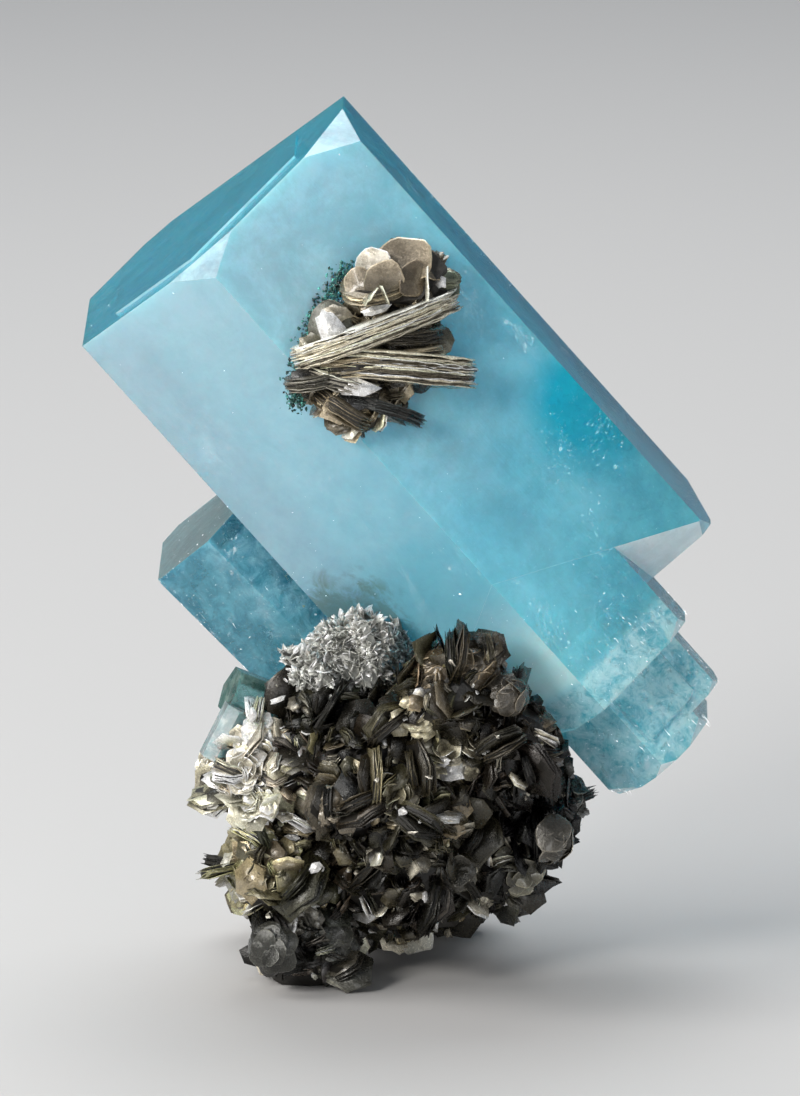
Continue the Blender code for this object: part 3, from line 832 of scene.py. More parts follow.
def book_tints(middles, dice, pale_share):
    """The lump's tint x a random brightness, and near white for a small share of the books, all
    darkened by painted shade in the hollows.
    """
    tints = TINT_TABLE[nearest_lump(middles)]
    tints = tints * dice.lognormal(-0.15, 0.95, (len(tints), 1)) * dice.normal(1, 0.05, tints.shape)
    pale = dice.random(len(tints)) < pale_share
    tints = np.where(pale[:, None], WHITE_TINT * dice.uniform(0.25, 1.0, (len(tints), 1)), tints)
    return tints * hollow_shade(middles)[:, None]


def leaf_tints(tints, owner, dice):
    """Each leaf's tint: its book's, a little lighter or darker."""
    return tints[owner] * dice.lognormal(-0.12, 0.55, (len(owner), 1))


print("tints for", len(TINT_TABLE), "lumps")

# %% [markdown]
# ## Leaves round the thick books
# Each thick book of the frame is dressed in nine leaves that stand a little past its rim, so its
# solid sides disappear in the gaps between them. The books on the silvery ball get their own cover.

# %% Dress the thick books
BALL = list(CORE_LUMPS).index("rosette")
book_middles = matrix_books[0].mean(axis=1)
on_ball = np.linalg.norm((book_middles - LUMP_CENTRES[BALL]) / LUMP_SIZES[BALL], axis=1) < 1.9
on_ball |= np.linalg.norm(book_middles - BALL_MIDDLE, axis=1) < BALL_REACH
on_ball &= book_middles[:, 2] > 58.0
dice = np.random.default_rng(5)
plain_books = [part[~on_ball] for part in matrix_books]
corners, flats, owner = split_books(*plain_books, 9, dice, (1.03, 1.22), 0.04)
tints = leaf_tints(book_tints(book_middles[~on_ball], dice, 0.0), owner, dice)
clear = (depth_in_crystals(corners).max(axis=1) < 0.5) & (corners[..., 2].min(axis=1) > 0.2)
leaves_piece("book_leaves", corners[clear], flats[clear], tints[clear], leaf_finish, "muscovite",
             dice)

# %% [markdown]
# ## Small books between them
# Between the thick books the real lump is packed with smaller ones that point every way. Places are
# drawn on the lumps' skin, those inside another lump or too near an earlier one are dropped, and
# each gets a small book that either stands on edge or lies flat.

# %% Places on the skin
def skin_places(centres, sizes, tries, clearance, dice):
    """Points on the skins of ellipsoids and their outward directions, thinned to the clearance."""
    weights = (sizes * np.roll(sizes, 1, axis=1)).sum(axis=1)
    lump = dice.choice(len(sizes), tries, p=weights / weights.sum())
    ways = unit(dice.normal(size=(tries, 3)))
    points = centres[lump] + ways * sizes[lump]
    outward = unit(ways / sizes[lump])
    reach = np.linalg.norm((points[:, None] - centres) / sizes, axis=2)
    reach[np.arange(tries), lump] = np.inf
    good = reach.min(axis=1) > 0.96
    points, outward = points[good], outward[good]
    kept = []
    for index, point in enumerate(points):
        near = np.linalg.norm(points[kept] - point, axis=1) if kept else np.array([99.0])
        if near.min() > clearance:
            kept.append(index)
    return points[kept], outward[kept]


SHOULDER = np.array((18.9, -33.0, 67.5))     # a point of the edge, and the way out from it
SHOULDER_WAY = unit(np.array((0.80, 0.125, 0.587)))


def small_books(points, outward, radius, flat_share, dice):
    """Six-sided rims on the skin. A standing book's flat side looks along the skin, a lying one's
    looks outward; both are turned by a random angle."""
    count = len(points)
    skin_way = unit(np.cross(outward, dice.normal(size=(count, 3))))
    lying = dice.random(count) < flat_share
    spoke = unit(outward + 0.45 * dice.normal(size=(count, 3)))
    flats = np.where(lying[:, None], unit(outward + 0.5 * dice.normal(size=(count, 3))),
                     unit(np.cross(skin_way, spoke)))
    first = unit(np.cross(flats, dice.normal(size=(count, 3))))
    second = np.cross(flats, first)
    sizes = dice.uniform(*radius, count)
    middle = points + spoke * (sizes * np.where(lying, 0.15, 0.35))[:, None]
    arms = six_arms(first, second, 0.14, dice, (0.7, 1.0))
    rims = middle[:, None] + arms * sizes[:, None, None] * dice.uniform(0.85, 1.1, (count, 6, 1))
    return rims, flats


def past_the_shoulder(points):
    """mm by which points (..., 3) lie above the mica's sloping upper right edge."""
    return (points - SHOULDER) @ SHOULDER_WAY


def free_of_crystals(corners, deepest=0.5):
    """True for leaves whose corners stay out of the crystals, above the floor and under the edge."""
    clear = depth_in_crystals(corners).max(axis=1) < deepest
    clear &= past_the_shoulder(corners).max(axis=1) < 0.8
    return clear & (corners[..., 2].min(axis=1) > 0.2)


def dress_skin(name, tries, clearance, radius, thickness, leaves, flat_share, pale_share, seed):
    """A piece of small books all over the core's lumps."""
    dice = np.random.default_rng(seed)
    points, outward = skin_places(LUMP_CENTRES, LUMP_SIZES, tries, clearance, dice)
    clear = (points[:, 2] > 1.2) & (depth_in_crystals(points) < 0.4)
    clear &= nearest_lump(points) != BALL
    points, outward = points[clear], outward[clear]
    rims, flats = small_books(points, outward, radius, flat_share, dice)
    depth = dice.uniform(*thickness, len(rims))
    corners, flats, owner = split_books(rims, flats, depth, leaves, dice, (0.85, 1.05), 0.09,
                                        curl=0.22)
    tints = leaf_tints(book_tints(points, dice, pale_share), owner, dice)
    clear = free_of_crystals(corners)
    leaves_piece(name, corners[clear], flats[clear], tints[clear], leaf_finish, "muscovite", dice)


# %% Small books, broad plates and crumbs
dress_skin("small_book_leaves", 6000, 2.72, (1.6, 3.4), (0.4, 0.9), 5, 0.35, 0.14, 21)
dress_skin("broad_plates", 3500, 3.0, (2.6, 5.0), (0.2, 0.5), 2, 0.55, 0.09, 23)
dress_skin("mica_crumbs", 9000, 1.57, (0.7, 1.5), (0.15, 0.4), 2, 0.30, 0.24, 22)

# %% [markdown]
# ## Pointing at places
# Some details belong at one exact place, such as a single bright plate or a speck inside the
# crystal. It is easiest to point at them as the camera sees them: a ray goes from the camera through
# a point of the picture, and where it meets the frame is where the detail sits.

# %% A point of the frame that the camera sees
frame_trees = {name: BVHTree.FromPolygons([v.co for v in node.data.vertices],
                                          [p.vertices for p in node.data.polygons])
               for name, node in nodes.items()}
PICTURE_UP = Vector((0.0, math.sin(VIEW_DOWN), math.cos(VIEW_DOWN)))


def seen_at(x, y, names=tuple(nodes)):
    """The nearest point (mm) and outward direction on the named nodes at picture point x, y, and
    the direction of the look. The ray runs from the camera through AIM + right + up offsets. Where
    it passes beside the nodes, the point of them nearest to it in AIM's depth is taken."""
    across = (x - PICTURE[0] / 2) * MM_PER_PIXEL * MM
    upward = (PICTURE[1] / 2 - y) * MM_PER_PIXEL * MM
    through = AIM + Vector((across, 0, 0)) + PICTURE_UP * upward
    look = (through - camera.location).normalized()
    hits = [frame_trees[name].ray_cast(camera.location, look) for name in names]
    hits = [hit for hit in hits if hit[0] is not None]
    hits = hits or [frame_trees[name].find_nearest(through) for name in names]
    place, facing = min(hits, key=lambda hit: hit[3])[:2]
    return np.array(place) / MM, np.array(facing), np.array(look)


CRYSTALS = ("aquamarine_crystals",)
MATRIX = ("muscovite_matrix",)
print("seen in the middle:", np.round(seen_at(400, 500)[0], 1))

# %% [markdown]
# ## Flowers of mica
# Where mica grew freely its leaves open like a rose: rings of petals round one axis, standing up in
# the middle and lying open outside. Petal k of ring j stands at its own angle, at the ring's radius,
# and its flat side leans between the axis and the outward way by the ring's lean.

# %% Flowers
def flower(centre, axis, radius, rings, petals, lean, petal_size, dome, dice):
    """Corners and flats of petals: place = centre + out x ring radius + axis x height, flat side =
    axis x cos(lean) + out x sin(lean), with the lean in degrees from the inner to the outer ring."""
    axis = unit(np.array(axis, float))
    first = unit(np.cross(axis, (0.31, 0.52, 0.79)))
    second = np.cross(axis, first)
    ring = np.repeat(np.arange(rings), petals)
    share = (ring + 0.35) / rings
    angle = dice.uniform(0, 2 * np.pi, ring.size)
    out = np.cos(angle)[:, None] * first + np.sin(angle)[:, None] * second
    side = np.cross(axis, out)
    tip = np.radians(lean[0] + (lean[1] - lean[0]) * share + dice.normal(0, 9, ring.size))
    flats = np.cos(tip)[:, None] * axis + np.sin(tip)[:, None] * out
    uphill = np.cross(side, flats)
    height = dome * (1 - share ** 2) + dice.normal(0, 0.25, ring.size)
    middle = np.array(centre) + out * (radius * share)[:, None] + axis * height[:, None]
    sizes = petal_size * (0.65 + 0.5 * share) * dice.uniform(0.8, 1.15, ring.size)
    arms = six_arms(side, uphill, 0.15, dice)
    rims = middle[:, None] + arms * sizes[:, None, None] * dice.uniform(0.9, 1.1, (ring.size, 6, 1))
    return rims, flats


def gather(parts):
    """Joins several (corners, flats, tints) into one."""
    return [np.concatenate(column) for column in zip(*parts)]


def scattered(tint, count, dice, spread=0.25):
    """The same tint for each of count leaves, each a little lighter or darker."""
    return np.array(tint) * dice.lognormal(0, spread, (count, 1))


# Picture place, axis, radius, rings, petals, leans, petal size, dome height, tint.
FLOWERS = (
    ((262, 742), (-0.20, -0.85, 0.50), 4.2, 5, 8, (-60, 20), 2.0, 0.8, (0.60, 0.56, 0.46)),
    ((252, 800), (-0.35, -0.90, 0.05), 4.6, 5, 8, (-75, -15), 2.2, 0.4, (0.46, 0.44, 0.34)),
    ((250, 850), (-0.55, -0.80, -0.05), 4.6, 5, 8, (-65, 10), 2.5, 0.6, (0.15, 0.135, 0.08)),
    ((415, 715), (0.00, -0.95, 0.30), 4.0, 5, 8, (-70, 15), 2.0, 0.8, (0.26, 0.235, 0.16)),
    ((430, 740), (0.00, -0.95, 0.30), 4.4, 5, 8, (-70, 15), 2.1, 0.8, (0.40, 0.37, 0.27)),
    ((468, 752), (0.15, -0.90, 0.40), 4.2, 5, 8, (-60, 25), 2.1, 0.8, (0.34, 0.31, 0.23)),
    ((335, 815), (-0.20, -0.95, 0.10), 4.4, 4, 8, (-60, 25), 2.2, 0.6, (0.13, 0.11, 0.08)),
    ((440, 815), (0.10, -0.98, 0.00), 4.6, 5, 8, (-60, 25), 2.2, 0.8, (0.15, 0.120, 0.075)),
    ((520, 855), (0.35, -0.90, -0.10), 4.2, 5, 8, (-60, 25), 2.2, 0.6, (0.26, 0.25, 0.19)),
    ((300, 925), (-0.25, -0.95, 0.05), 4.0, 4, 7, (-55, 25), 2.2, 0.6, (0.085, 0.080, 0.066)),
)
dice = np.random.default_rng(41)
parts = []
for (x, y), axis, radius, rings, petals, lean, petal_size, dome, tint in FLOWERS:
    centre = seen_at(x, y, MATRIX)[0]
    rims, flats = flower(centre, axis, radius, rings, petals, lean, petal_size, dome, dice)
    corners, flats, owner = split_books(rims, flats, np.full(len(rims), 0.25), 2, dice, (0.9, 1.05),
                                        curl=0.2)
    parts.append((corners, flats, scattered(tint, len(corners), dice)))
corners, flats, tints = gather(parts)
clear = free_of_crystals(corners)
leaves_piece("mica_flowers", corners[clear], flats[clear], tints[clear], leaf_finish, "muscovite",
             dice)

# %% [markdown]
# ## Cupped petals
# Where the mica grew freely it makes roses of round plates, each hollowed like a watch glass, with
# painted shade in the middle and a painted highlight at the rim and on one side. A petal is a disc
# worked out on rings round its middle, with an upper and a lower skin joined at the rim: height =
# bulge x (1 - (r / R)^2).

# %% Cupped petals
PETAL_SIDES = 18
PETAL_RINGS = 3
# The outermost ring is the rim that carries the painted highlight.
RING_SHARES = (0.5, 0.92, 1.0)          # of the petal's radius; the last step is the pale rim


def cups(middles, axes, radii, bulges, dice, thickness=0.10):
    """Points (n, k, 3), one pattern of triangles, and a painted light factor for each point: painted
    shade in the middle, a painted highlight at the rim and one side painted lighter."""
    count = len(middles)
    first = unit(np.cross(axes, dice.normal(size=(count, 3))))
    second = np.cross(axes, first)
    share = np.repeat(RING_SHARES, PETAL_SIDES)
    turn = np.tile(np.arange(PETAL_SIDES) * 2 * np.pi / PETAL_SIDES, PETAL_RINGS)
    lobes = 1 + 0.09 * np.sin(turn * 2 + dice.uniform(0, 6.3, (count, 1)))
    lobes = lobes + 0.05 * np.sin(turn * 5 + dice.uniform(0, 6.3, (count, 1)))
    reach = radii[:, None] * share * lobes
    wave = 0.10 * np.sin(turn * 3 + dice.uniform(0, 6.3, (count, 1))) * share ** 2
    lift = bulges[:, None] * (1 - share ** 2) + radii[:, None] * wave
    sheet = (middles[:, None] + (reach * np.cos(turn))[..., None] * first[:, None]
             + (reach * np.sin(turn))[..., None] * second[:, None] + lift[..., None] * axes[:, None])
    centre = (middles + axes * bulges[:, None])[:, None]
    sheet = np.concatenate([centre, sheet], axis=1)
    half = axes[:, None] * thickness / 2
    here = np.arange(PETAL_SIDES)
    after = np.roll(here, -1)
    skin = [np.stack([0 * here, 1 + here, 1 + after], axis=1)]
    for inner in range(1, 1 + (PETAL_RINGS - 1) * PETAL_SIDES, PETAL_SIDES):
        outer = inner + PETAL_SIDES
        skin.append(np.stack([inner + here, outer + here, outer + after], axis=1))
        skin.append(np.stack([inner + here, outer + after, inner + after], axis=1))
    skin = np.concatenate(skin)
    size = 1 + PETAL_RINGS * PETAL_SIDES
    rim = size - PETAL_SIDES + here
    rim_after = size - PETAL_SIDES + after
    wall = np.concatenate([np.stack([rim, size + rim, size + rim_after], axis=1),
                           np.stack([rim, size + rim_after, rim_after], axis=1)])
    pattern = np.concatenate([skin, skin[:, ::-1] + size, wall])
    points = np.concatenate([sheet + half, sheet - half], axis=1)
    # Painted light: dark middle, pale rim and one side lighter.
    shade = MIDDLE_PAINTED_SHADE + 0.3 * share + 1.9 * share ** 40
    shade = shade * (1 + 0.45 * share * np.sin(turn + dice.uniform(0, 6.3, (count, 1))))
    shade = np.concatenate([np.full((count, 1), MIDDLE_PAINTED_SHADE), shade], axis=1)
    return points, pattern, np.tile(shade, 2)


SPIRAL_STEP = 2.4          # radians, the turn that keeps petals from lying over each other


def rose(centre, axis, spread, petals, lean, radius, tint, dice, drop=0.6):
    """Petals on a spiral: place = centre + out x spread x sqrt(share), sunk by
    drop x share^2, flat side between the axis and out. Gives middles, axes, radii, bulges, tints."""
    axis = unit(np.array(axis, float))
    first = unit(np.cross(axis, (0.31, 0.52, 0.79)))
    second = np.cross(axis, first)
    share = np.sqrt((np.arange(petals) + 0.5) / petals)
    turn = np.arange(petals) * SPIRAL_STEP + dice.normal(0, 0.2, petals)
    out = np.cos(turn)[:, None] * first + np.sin(turn)[:, None] * second
    tip = np.radians(lean[0] + (lean[1] - lean[0]) * share + dice.normal(0, 7, petals))[:, None]
    flats = np.cos(tip) * axis + np.sin(tip) * out
    middles = centre + out * (spread * share)[:, None] - drop * spread * share[:, None] ** 2 * axis
    size = radius * (0.75 + 0.35 * share) * dice.uniform(0.85, 1.1, petals)
    bulges = size * dice.uniform(0.10, 0.30, petals)
    return middles, flats, size, bulges, scattered(tint, petals, dice)


def petals_piece(name, roses, slot_name, dice, shoulder=99.0):
    """All roses' petals as one mesh, each petal with painted shade in the middle and a painted
    highlight at its rim.
    """
    middles, axes, radii, bulges, tints = gather(roses)
    points, pattern, painted_light = cups(middles, axes, radii, bulges, dice)
    clear = (depth_in_crystals(points).max(axis=1) < 0.6) & (past_the_shoulder(middles) < shoulder)
    points, tints = points[clear], tints[clear]
    tints = tints[:, None] * painted_light[clear][..., None]
    faces = repeated(pattern, points.shape[1], len(points))
    tinted_piece(name, points, faces, tints, leaf_finish, slot_name)


# Picture place, axis, spread, petals, leans, petal radius, tint.
ROSES = (
    ((437, 668), (-0.10, -0.75, 0.65), 4.2, 18, (5, 62), 3.2, (0.13, 0.100, 0.060)),
    ((480, 665), (0.35, -0.75, 0.55), 4.6, 20, (5, 62), 3.4, (0.11, 0.085, 0.052)),
    ((512, 690), (0.50, -0.65, 0.50), 3.2, 12, (5, 55), 2.8, (0.07, 0.06, 0.045)),
    ((556, 728), (0.75, -0.50, 0.40), 3.6, 14, (5, 60), 3.0, (0.10, 0.085, 0.065)),
    ((572, 800), (0.90, -0.40, 0.00), 4.2, 14, (0, 55), 3.6, (0.045, 0.045, 0.038)),
    ((560, 842), (0.85, -0.50, -0.20), 3.4, 10, (0, 55), 3.2, (0.06, 0.055, 0.045)),
    ((224, 757), (-0.62, -0.72, 0.30), 3.4, 26, (-80, -28), 2.4, (0.56, 0.52, 0.40)),
    ((246, 770), (-0.30, -0.85, 0.35), 3.0, 20, (-80, -20), 2.0, (0.62, 0.58, 0.47)),
    ((444, 748), (0.05, -0.92, 0.35), 3.4, 20, (-80, -10), 2.2, (0.34, 0.31, 0.22)),
    ((478, 740), (0.30, -0.85, 0.40), 3.0, 16, (-80, -10), 2.1, (0.36, 0.33, 0.25)),
    ((392, 795), (-0.15, -0.95, 0.20), 3.4, 20, (-80, -10), 2.1, (0.20, 0.18, 0.12)),
    ((262, 872), (-0.50, -0.85, -0.05), 3.6, 18, (-75, -5), 2.6, (0.15, 0.135, 0.08)),
    ((455, 868), (0.10, -0.98, -0.10), 3.6, 16, (-60, 20), 2.6, (0.07, 0.065, 0.05)),
    ((520, 872), (0.40, -0.88, -0.15), 3.4, 16, (-60, 20), 2.6, (0.16, 0.15, 0.11)),
    ((330, 945), (0.05, -0.95, 0.20), 3.4, 14, (-40, 40), 2.8, (0.06, 0.06, 0.05)),
    ((268, 950), (-0.50, -0.85, 0.10), 3.4, 14, (-40, 40), 2.8, (0.05, 0.05, 0.042)),
)
dice = np.random.default_rng(45)
matrix_roses = []
for (x, y), axis, spread, petals, lean, radius, tint in ROSES:
    centre = seen_at(x, y, MATRIX)[0] + 1.2 * unit(np.array(axis))
    matrix_roses.append(rose(centre, axis, spread, petals, lean, radius, tint, dice))
petals_piece("matrix_petals", matrix_roses, "muscovite", dice, -1.2)

# %% [markdown]
# ## The silver ball
# Just under the crystal sits a round tangle of very fine silvery leaves. They stand on edge all
# over its lump like the hairs of a brush, each turned another way, so only their bright edges show.

# %% Silver ball
# Leaves on the lump itself, then on the sides of the thick books there, then round their edges.
SILVER_LEAVES = 1500
SILVER_ON_BOOK = 190
SILVER_ON_EDGE = 100
SILVER_SIZE = (0.7, 1.9)
SILVER_WIDTH = 0.4         # of a leaf's length
dice = np.random.default_rng(51)
ways = unit(dice.normal(size=(SILVER_LEAVES, 3)))
reach = LUMP_SIZES[BALL] + dice.uniform(-0.6, 0.9, (SILVER_LEAVES, 1))
points = LUMP_CENTRES[BALL] + ways * reach
book_rims, book_flats, book_thickness = matrix_books
near = np.repeat(np.flatnonzero(on_ball), SILVER_ON_BOOK)
arms = book_rims[near] - book_middles[near][:, None]
weights = dice.dirichlet(np.full(6, 0.5), len(near))
towards = np.sign(book_flats[near] @ np.array(TO_CAMERA))
side = np.where(dice.random(len(near)) < 0.8, towards, -towards)[:, None]
out = book_thickness[near][:, None] / 2 + dice.uniform(0, 0.5, (len(near), 1))
lift = side * book_flats[near] * out
book_points = book_middles[near] + (arms * weights[..., None]).sum(axis=1) * 1.08 + lift
edge = np.repeat(np.flatnonzero(on_ball), SILVER_ON_EDGE)
corner = dice.integers(0, 6, len(edge))
share = dice.random((len(edge), 1))
turns = np.arange(len(edge))
rims = book_rims[edge]
rim_points = rims[turns, corner] * share + rims[turns, (corner + 1) % 6] * (1 - share)
outward = unit(rim_points - book_middles[edge])
level = (book_thickness[edge] * dice.uniform(-0.5, 0.5, len(edge)))[:, None] * book_flats[edge]
points = np.concatenate([points, book_points, rim_points + outward * 0.2 + level])
ways = np.concatenate([ways, side * book_flats[near], outward])
count = len(points)
flats = unit(np.cross(ways, dice.normal(size=ways.shape)) + 0.25 * ways)
first = unit(np.cross(flats, dice.normal(size=ways.shape)))
second = np.cross(flats, first)
arms = six_arms(first, second * SILVER_WIDTH, 0.2, dice)
corners = points[:, None] + arms * dice.uniform(*SILVER_SIZE, (count, 1, 1))
tints = scattered(SILVER_TINT, count, dice, 0.55)
clear = free_of_crystals(corners, 0.2)
leaves_piece("silver_ball", corners[clear], flats[clear], tints[clear], leaf_finish, "muscovite",
             dice, 0.06)

# %% [markdown]
# ## Single bright plates
# A few clean plates lie just so that they mirror a light. Each is a flat six-sided leaf whose flat
# side looks halfway between the camera and the front light, which is where a mirror has to look.
# Their near-white tint is a painted highlight on top of that mirror.

# %% Bright plates
# Picture place, half size in mm, how far it is turned away from the mirror direction, tint, which is
# near white as a painted highlight.
BRIGHT_PLATES = (
    ((293, 727), 2.4, 0.12, 0.85), ((252, 716), 2.2, 0.10, 0.85), ((277, 700), 1.7, 0.15, 0.75),
    ((292, 836), 2.0, 0.18, 0.62), ((342, 882), 2.3, 0.08, 0.90), ((318, 868), 1.7, 0.12, 0.80),
    ((362, 860), 2.2, 0.25, 0.80), ((388, 846), 2.0, 0.30, 0.55), ((292, 926), 3.2, 0.25, 0.50),
    ((330, 928), 1.9, 0.12, 0.75), ((437, 700), 2.3, 0.12, 0.75), ((494, 722), 2.1, 0.10, 0.90),
    ((472, 716), 1.6, 0.20, 0.70), ((451, 773), 3.0, 0.30, 0.50), ((444, 762), 1.6, 0.15, 0.70),
    ((512, 858), 2.3, 0.18, 0.70), ((536, 878), 1.9, 0.25, 0.60), ((402, 812), 1.2, 0.10, 0.80),
    ((425, 898), 1.4, 0.20, 0.50), ((240, 848), 1.6, 0.22, 0.60), ((262, 886), 1.4, 0.15, 0.70),
    ((562, 760), 2.6, 0.45, 0.30), ((545, 742), 2.8, 0.50, 0.26), ((232, 818), 1.5, 0.15, 0.80),
)
LIGHT_WAY = unit(np.array((-0.55, -0.72, 0.42)))


def plates(rows, stand_off, dice):
    """Corners, flats and tints of single plates: flat side = camera way + light way, tilted."""
    corners, flats, tints = [], [], []
    for (x, y), size, aside, shade in rows:
        place, _, look = seen_at(x, y, MATRIX)
        flat = unit(unit(LIGHT_WAY - look) + aside * dice.normal(size=3))
        first = unit(np.cross(flat, dice.normal(size=3)))
        arms = six_arms(first[None], np.cross(flat, first)[None], 0.4, dice, (0.35, 0.9))[0]
        reach = size * dice.uniform(0.65, 1.15, (6, 1))
        corners.append(place - look * stand_off + arms * reach)
        flats.append(flat)
        tints.append(np.array((1.0, 0.98, 0.95)) * shade)
    return np.array(corners), np.array(flats), np.array(tints)


dice = np.random.default_rng(61)
leaves_piece("bright_plates", *plates(BRIGHT_PLATES, 1.6, dice), leaf_finish,
             "muscovite", dice, 0.10, (0.8, 1.15), 0.05)

# %% Glints
# Small clean plates that mirror the light, scattered over what the camera sees of the lump, with
# pale tints as a painted highlight.
GLINTS = 170
GLINT_PATCH = ((195, 640), (600, 960))     # corners of the part of the picture they are drawn in
dice = np.random.default_rng(65)
spots = dice.uniform(*GLINT_PATCH, (GLINTS, 2))
places = np.array([seen_at(x, y, MATRIX)[0] for x, y in spots])
spots = spots[(hollow_shade(places) > 0.6) & (dice.random(GLINTS) < 0.85)]
rows = [((x, y), dice.lognormal(-0.1, 0.4), 0.5, dice.uniform(0.2, 0.7)) for x, y in spots]
corners, flats, tints = plates(rows, 0.8, dice)
clear = free_of_crystals(corners)
leaves_piece("glints", corners[clear], flats[clear], tints[clear] * (1.0, 0.95, 0.84), leaf_finish,
             "muscovite", dice, 0.06, (0.8, 1.15), 0.05)

# %% [markdown]
# ## The tuft on the front face
# Its books are placed on the big crystal's front right face: across it, along it and out from it.
# The thick ones are layered like a closed book seen from its edge, so they are split into many
# leaves that curve and spread a little. Small books fill the feet between them, and a flower of
# broad brown petals closes the top.

# %% The tuft's books
CLUSTER_BOOKS = (
    ((-2.2, 20.0, 5.5), (0.38, 0.92, 0.12), (16.0, 7.0, 3.4)),
    ((-3.5, 10.8, 6.0), (0.72, 0.69, 0.12), (13.0, 6.5, 4.6)),
    ((-6.0, 15.5, 5.5), (0.55, 0.82, 0.20), (11.5, 6.0, 2.6)),
    ((9.5, 23.5, 6.5), (-0.10, 0.45, 0.88), (7.5, 6.8, 2.4)),
    ((5.0, 25.5, 5.0), (0.30, 0.80, 0.50), (7.0, 5.6, 2.0)),
    ((13.0, 20.5, 5.0), (0.80, 0.10, 0.60), (6.2, 5.4, 1.8)),
    ((6.5, 21.5, 5.5), (-0.40, 0.50, 0.77), (6.5, 5.6, 2.0)),
    ((-8.2, 26.0, 4.0), (-0.35, 0.25, 0.90), (4.6, 3.8, 1.5)),
    ((-16.5, 21.0, 3.2), (0.45, 0.85, 0.25), (6.0, 4.6, 2.2)),
    ((-13.5, 17.5, 4.0), (0.75, 0.55, 0.35), (6.4, 4.8, 2.2)),
    ((-17.0, 13.5, 3.4), (0.85, 0.30, 0.42), (5.4, 4.4, 2.4)),
    ((-11.0, 7.8, 3.8), (0.85, 0.50, 0.18), (7.4, 4.4, 2.0)),
    ((4.5, 11.0, 4.6), (0.25, 0.35, 0.90), (4.0, 3.8, 1.4)),
    ((14.5, 18.2, 5.4), (0.55, 0.55, 0.62), (3.8, 3.0, 1.2)),
    ((1.0, 16.0, 5.0), (0.60, 0.70, 0.38), (7.5, 5.0, 2.2)),
)
CLUSTER_PADS = (
    ((-3.0, 17.5, 0.5), (13.0, 8.5, 5.0)),
    ((8.5, 21.5, 0.8), (8.0, 6.6, 5.0)),
    ((-13.0, 18.0, 0.3), (6.5, 6.5, 3.8)),
    ((-11.0, 11.0, 0.2), (7.5, 5.0, 3.6)),
    ((1.5, 11.5, 0.2), (7.0, 5.0, 3.6)),
)
FACE_OUT = FACE_FRONT_RIGHT
FACE_MIDDLE = HEART + FACE_OUT * 31.2
FACE_TURN = np.stack([FACE_RIGHT, ALONG, FACE_OUT], axis=1)


def cluster_books(rng):
    """Each book's corners, flat direction and thickness, from its place on the face."""
    books = []
    for place, looks, (half_length, half_width, thickness) in CLUSTER_BOOKS:
        flat_side = Vector(FACE_TURN @ np.array(looks))
        middle = Vector(FACE_MIDDLE + FACE_TURN @ np.array(place))
        long_way = flat_side.cross(Vector(FACE_OUT))
        corners, up = book_rim(middle, flat_side, long_way, half_length, half_width, rng)
        books.append((corners, up, thickness))
    return as_arrays(books)


CLUSTER_TINTS = np.array((
    (0.42, 0.385, 0.30), (0.40, 0.365, 0.28), (0.16, 0.135, 0.09), (0.20, 0.165, 0.11),
    (0.15, 0.125, 0.08), (0.35, 0.33, 0.28), (0.22, 0.19, 0.13), (0.10, 0.10, 0.08),
    (0.07, 0.065, 0.05), (0.22, 0.205, 0.17), (0.085, 0.07, 0.045), (0.018, 0.02, 0.019),
    (0.09, 0.085, 0.055), (0.16, 0.17, 0.11), (0.05, 0.043, 0.03)))
tuft = cluster_books(random.Random(FAN_SEED + 1))
dice = np.random.default_rng(31)
LAYERED = 2                # the first two books are the long layered ones
PACKETS = 24
PACKET_THICKNESS = 0.18
LAYER_DARK = (0.06, 0.05, 0.033)
corners, flats, owner = split_books(*(part[:LAYERED] for part in tuft), PACKETS, dice, (1.18, 1.22),
                                    0.006, 0.25, curl=0.05, scatter=(0.99, 1.03))
tints = CLUSTER_TINTS[owner] * dice.lognormal(0, 0.28, (len(owner), 1))
dark = dice.random(len(owner)) < 0.22
tints = np.where(dark[:, None], np.array(LAYER_DARK), tints)
leaves_piece("layered_books", corners, flats, tints, leaf_finish, "brown_muscovite", dice,
             PACKET_THICKNESS, (0.965, 1.07), 0.010, 3)
ROSE_BOOKS = (3, 5, 6)     # the roses' petals cover these
dressed = [i for i in range(LAYERED, len(CLUSTER_BOOKS)) if i not in ROSE_BOOKS]
corners, flats, owner = split_books(*(part[dressed] for part in tuft), 9, dice, (1.13, 1.24), 0.02,
                                    scatter=(0.99, 1.06))
leaves_piece("tuft_books", corners, flats, leaf_tints(CLUSTER_TINTS[dressed], owner, dice),
             leaf_finish, "brown_muscovite", dice, 0.15, (0.95, 1.09), 0.015, 2)

# %% The small books round its feet
pad_centres, pad_sizes = map(np.array, zip(*CLUSTER_PADS))
points, outward = skin_places(pad_centres, pad_sizes, 2500, 1.5, dice)
above = points[:, 2] > 0.6
points = FACE_MIDDLE + points[above] @ FACE_TURN.T
outward = outward[above] @ FACE_TURN.T
rims, flats = small_books(points, outward, (1.3, 3.2), 0.25, dice)
corners, flats, owner = split_books(rims, flats, dice.uniform(0.4, 1.1, len(rims)), 4, dice,
                                    (0.9, 1.1), 0.07)
tints = leaf_tints(scattered((0.085, 0.072, 0.048), len(rims), dice, 0.9), owner, dice)
clear = depth_in_crystals(corners).max(axis=1) < 0.5
leaves_piece("tuft_leaves", corners[clear], flats[clear], tints[clear], leaf_finish,
             "brown_muscovite", dice)

# %% [markdown]
# ## The roses of the tuft
# The top of the tuft is a rose of round brown plates with painted highlights on their rims, and
# smaller ones stand round its foot. Their petals are the cupped ones, set out in the same spiral as
# on the matrix.

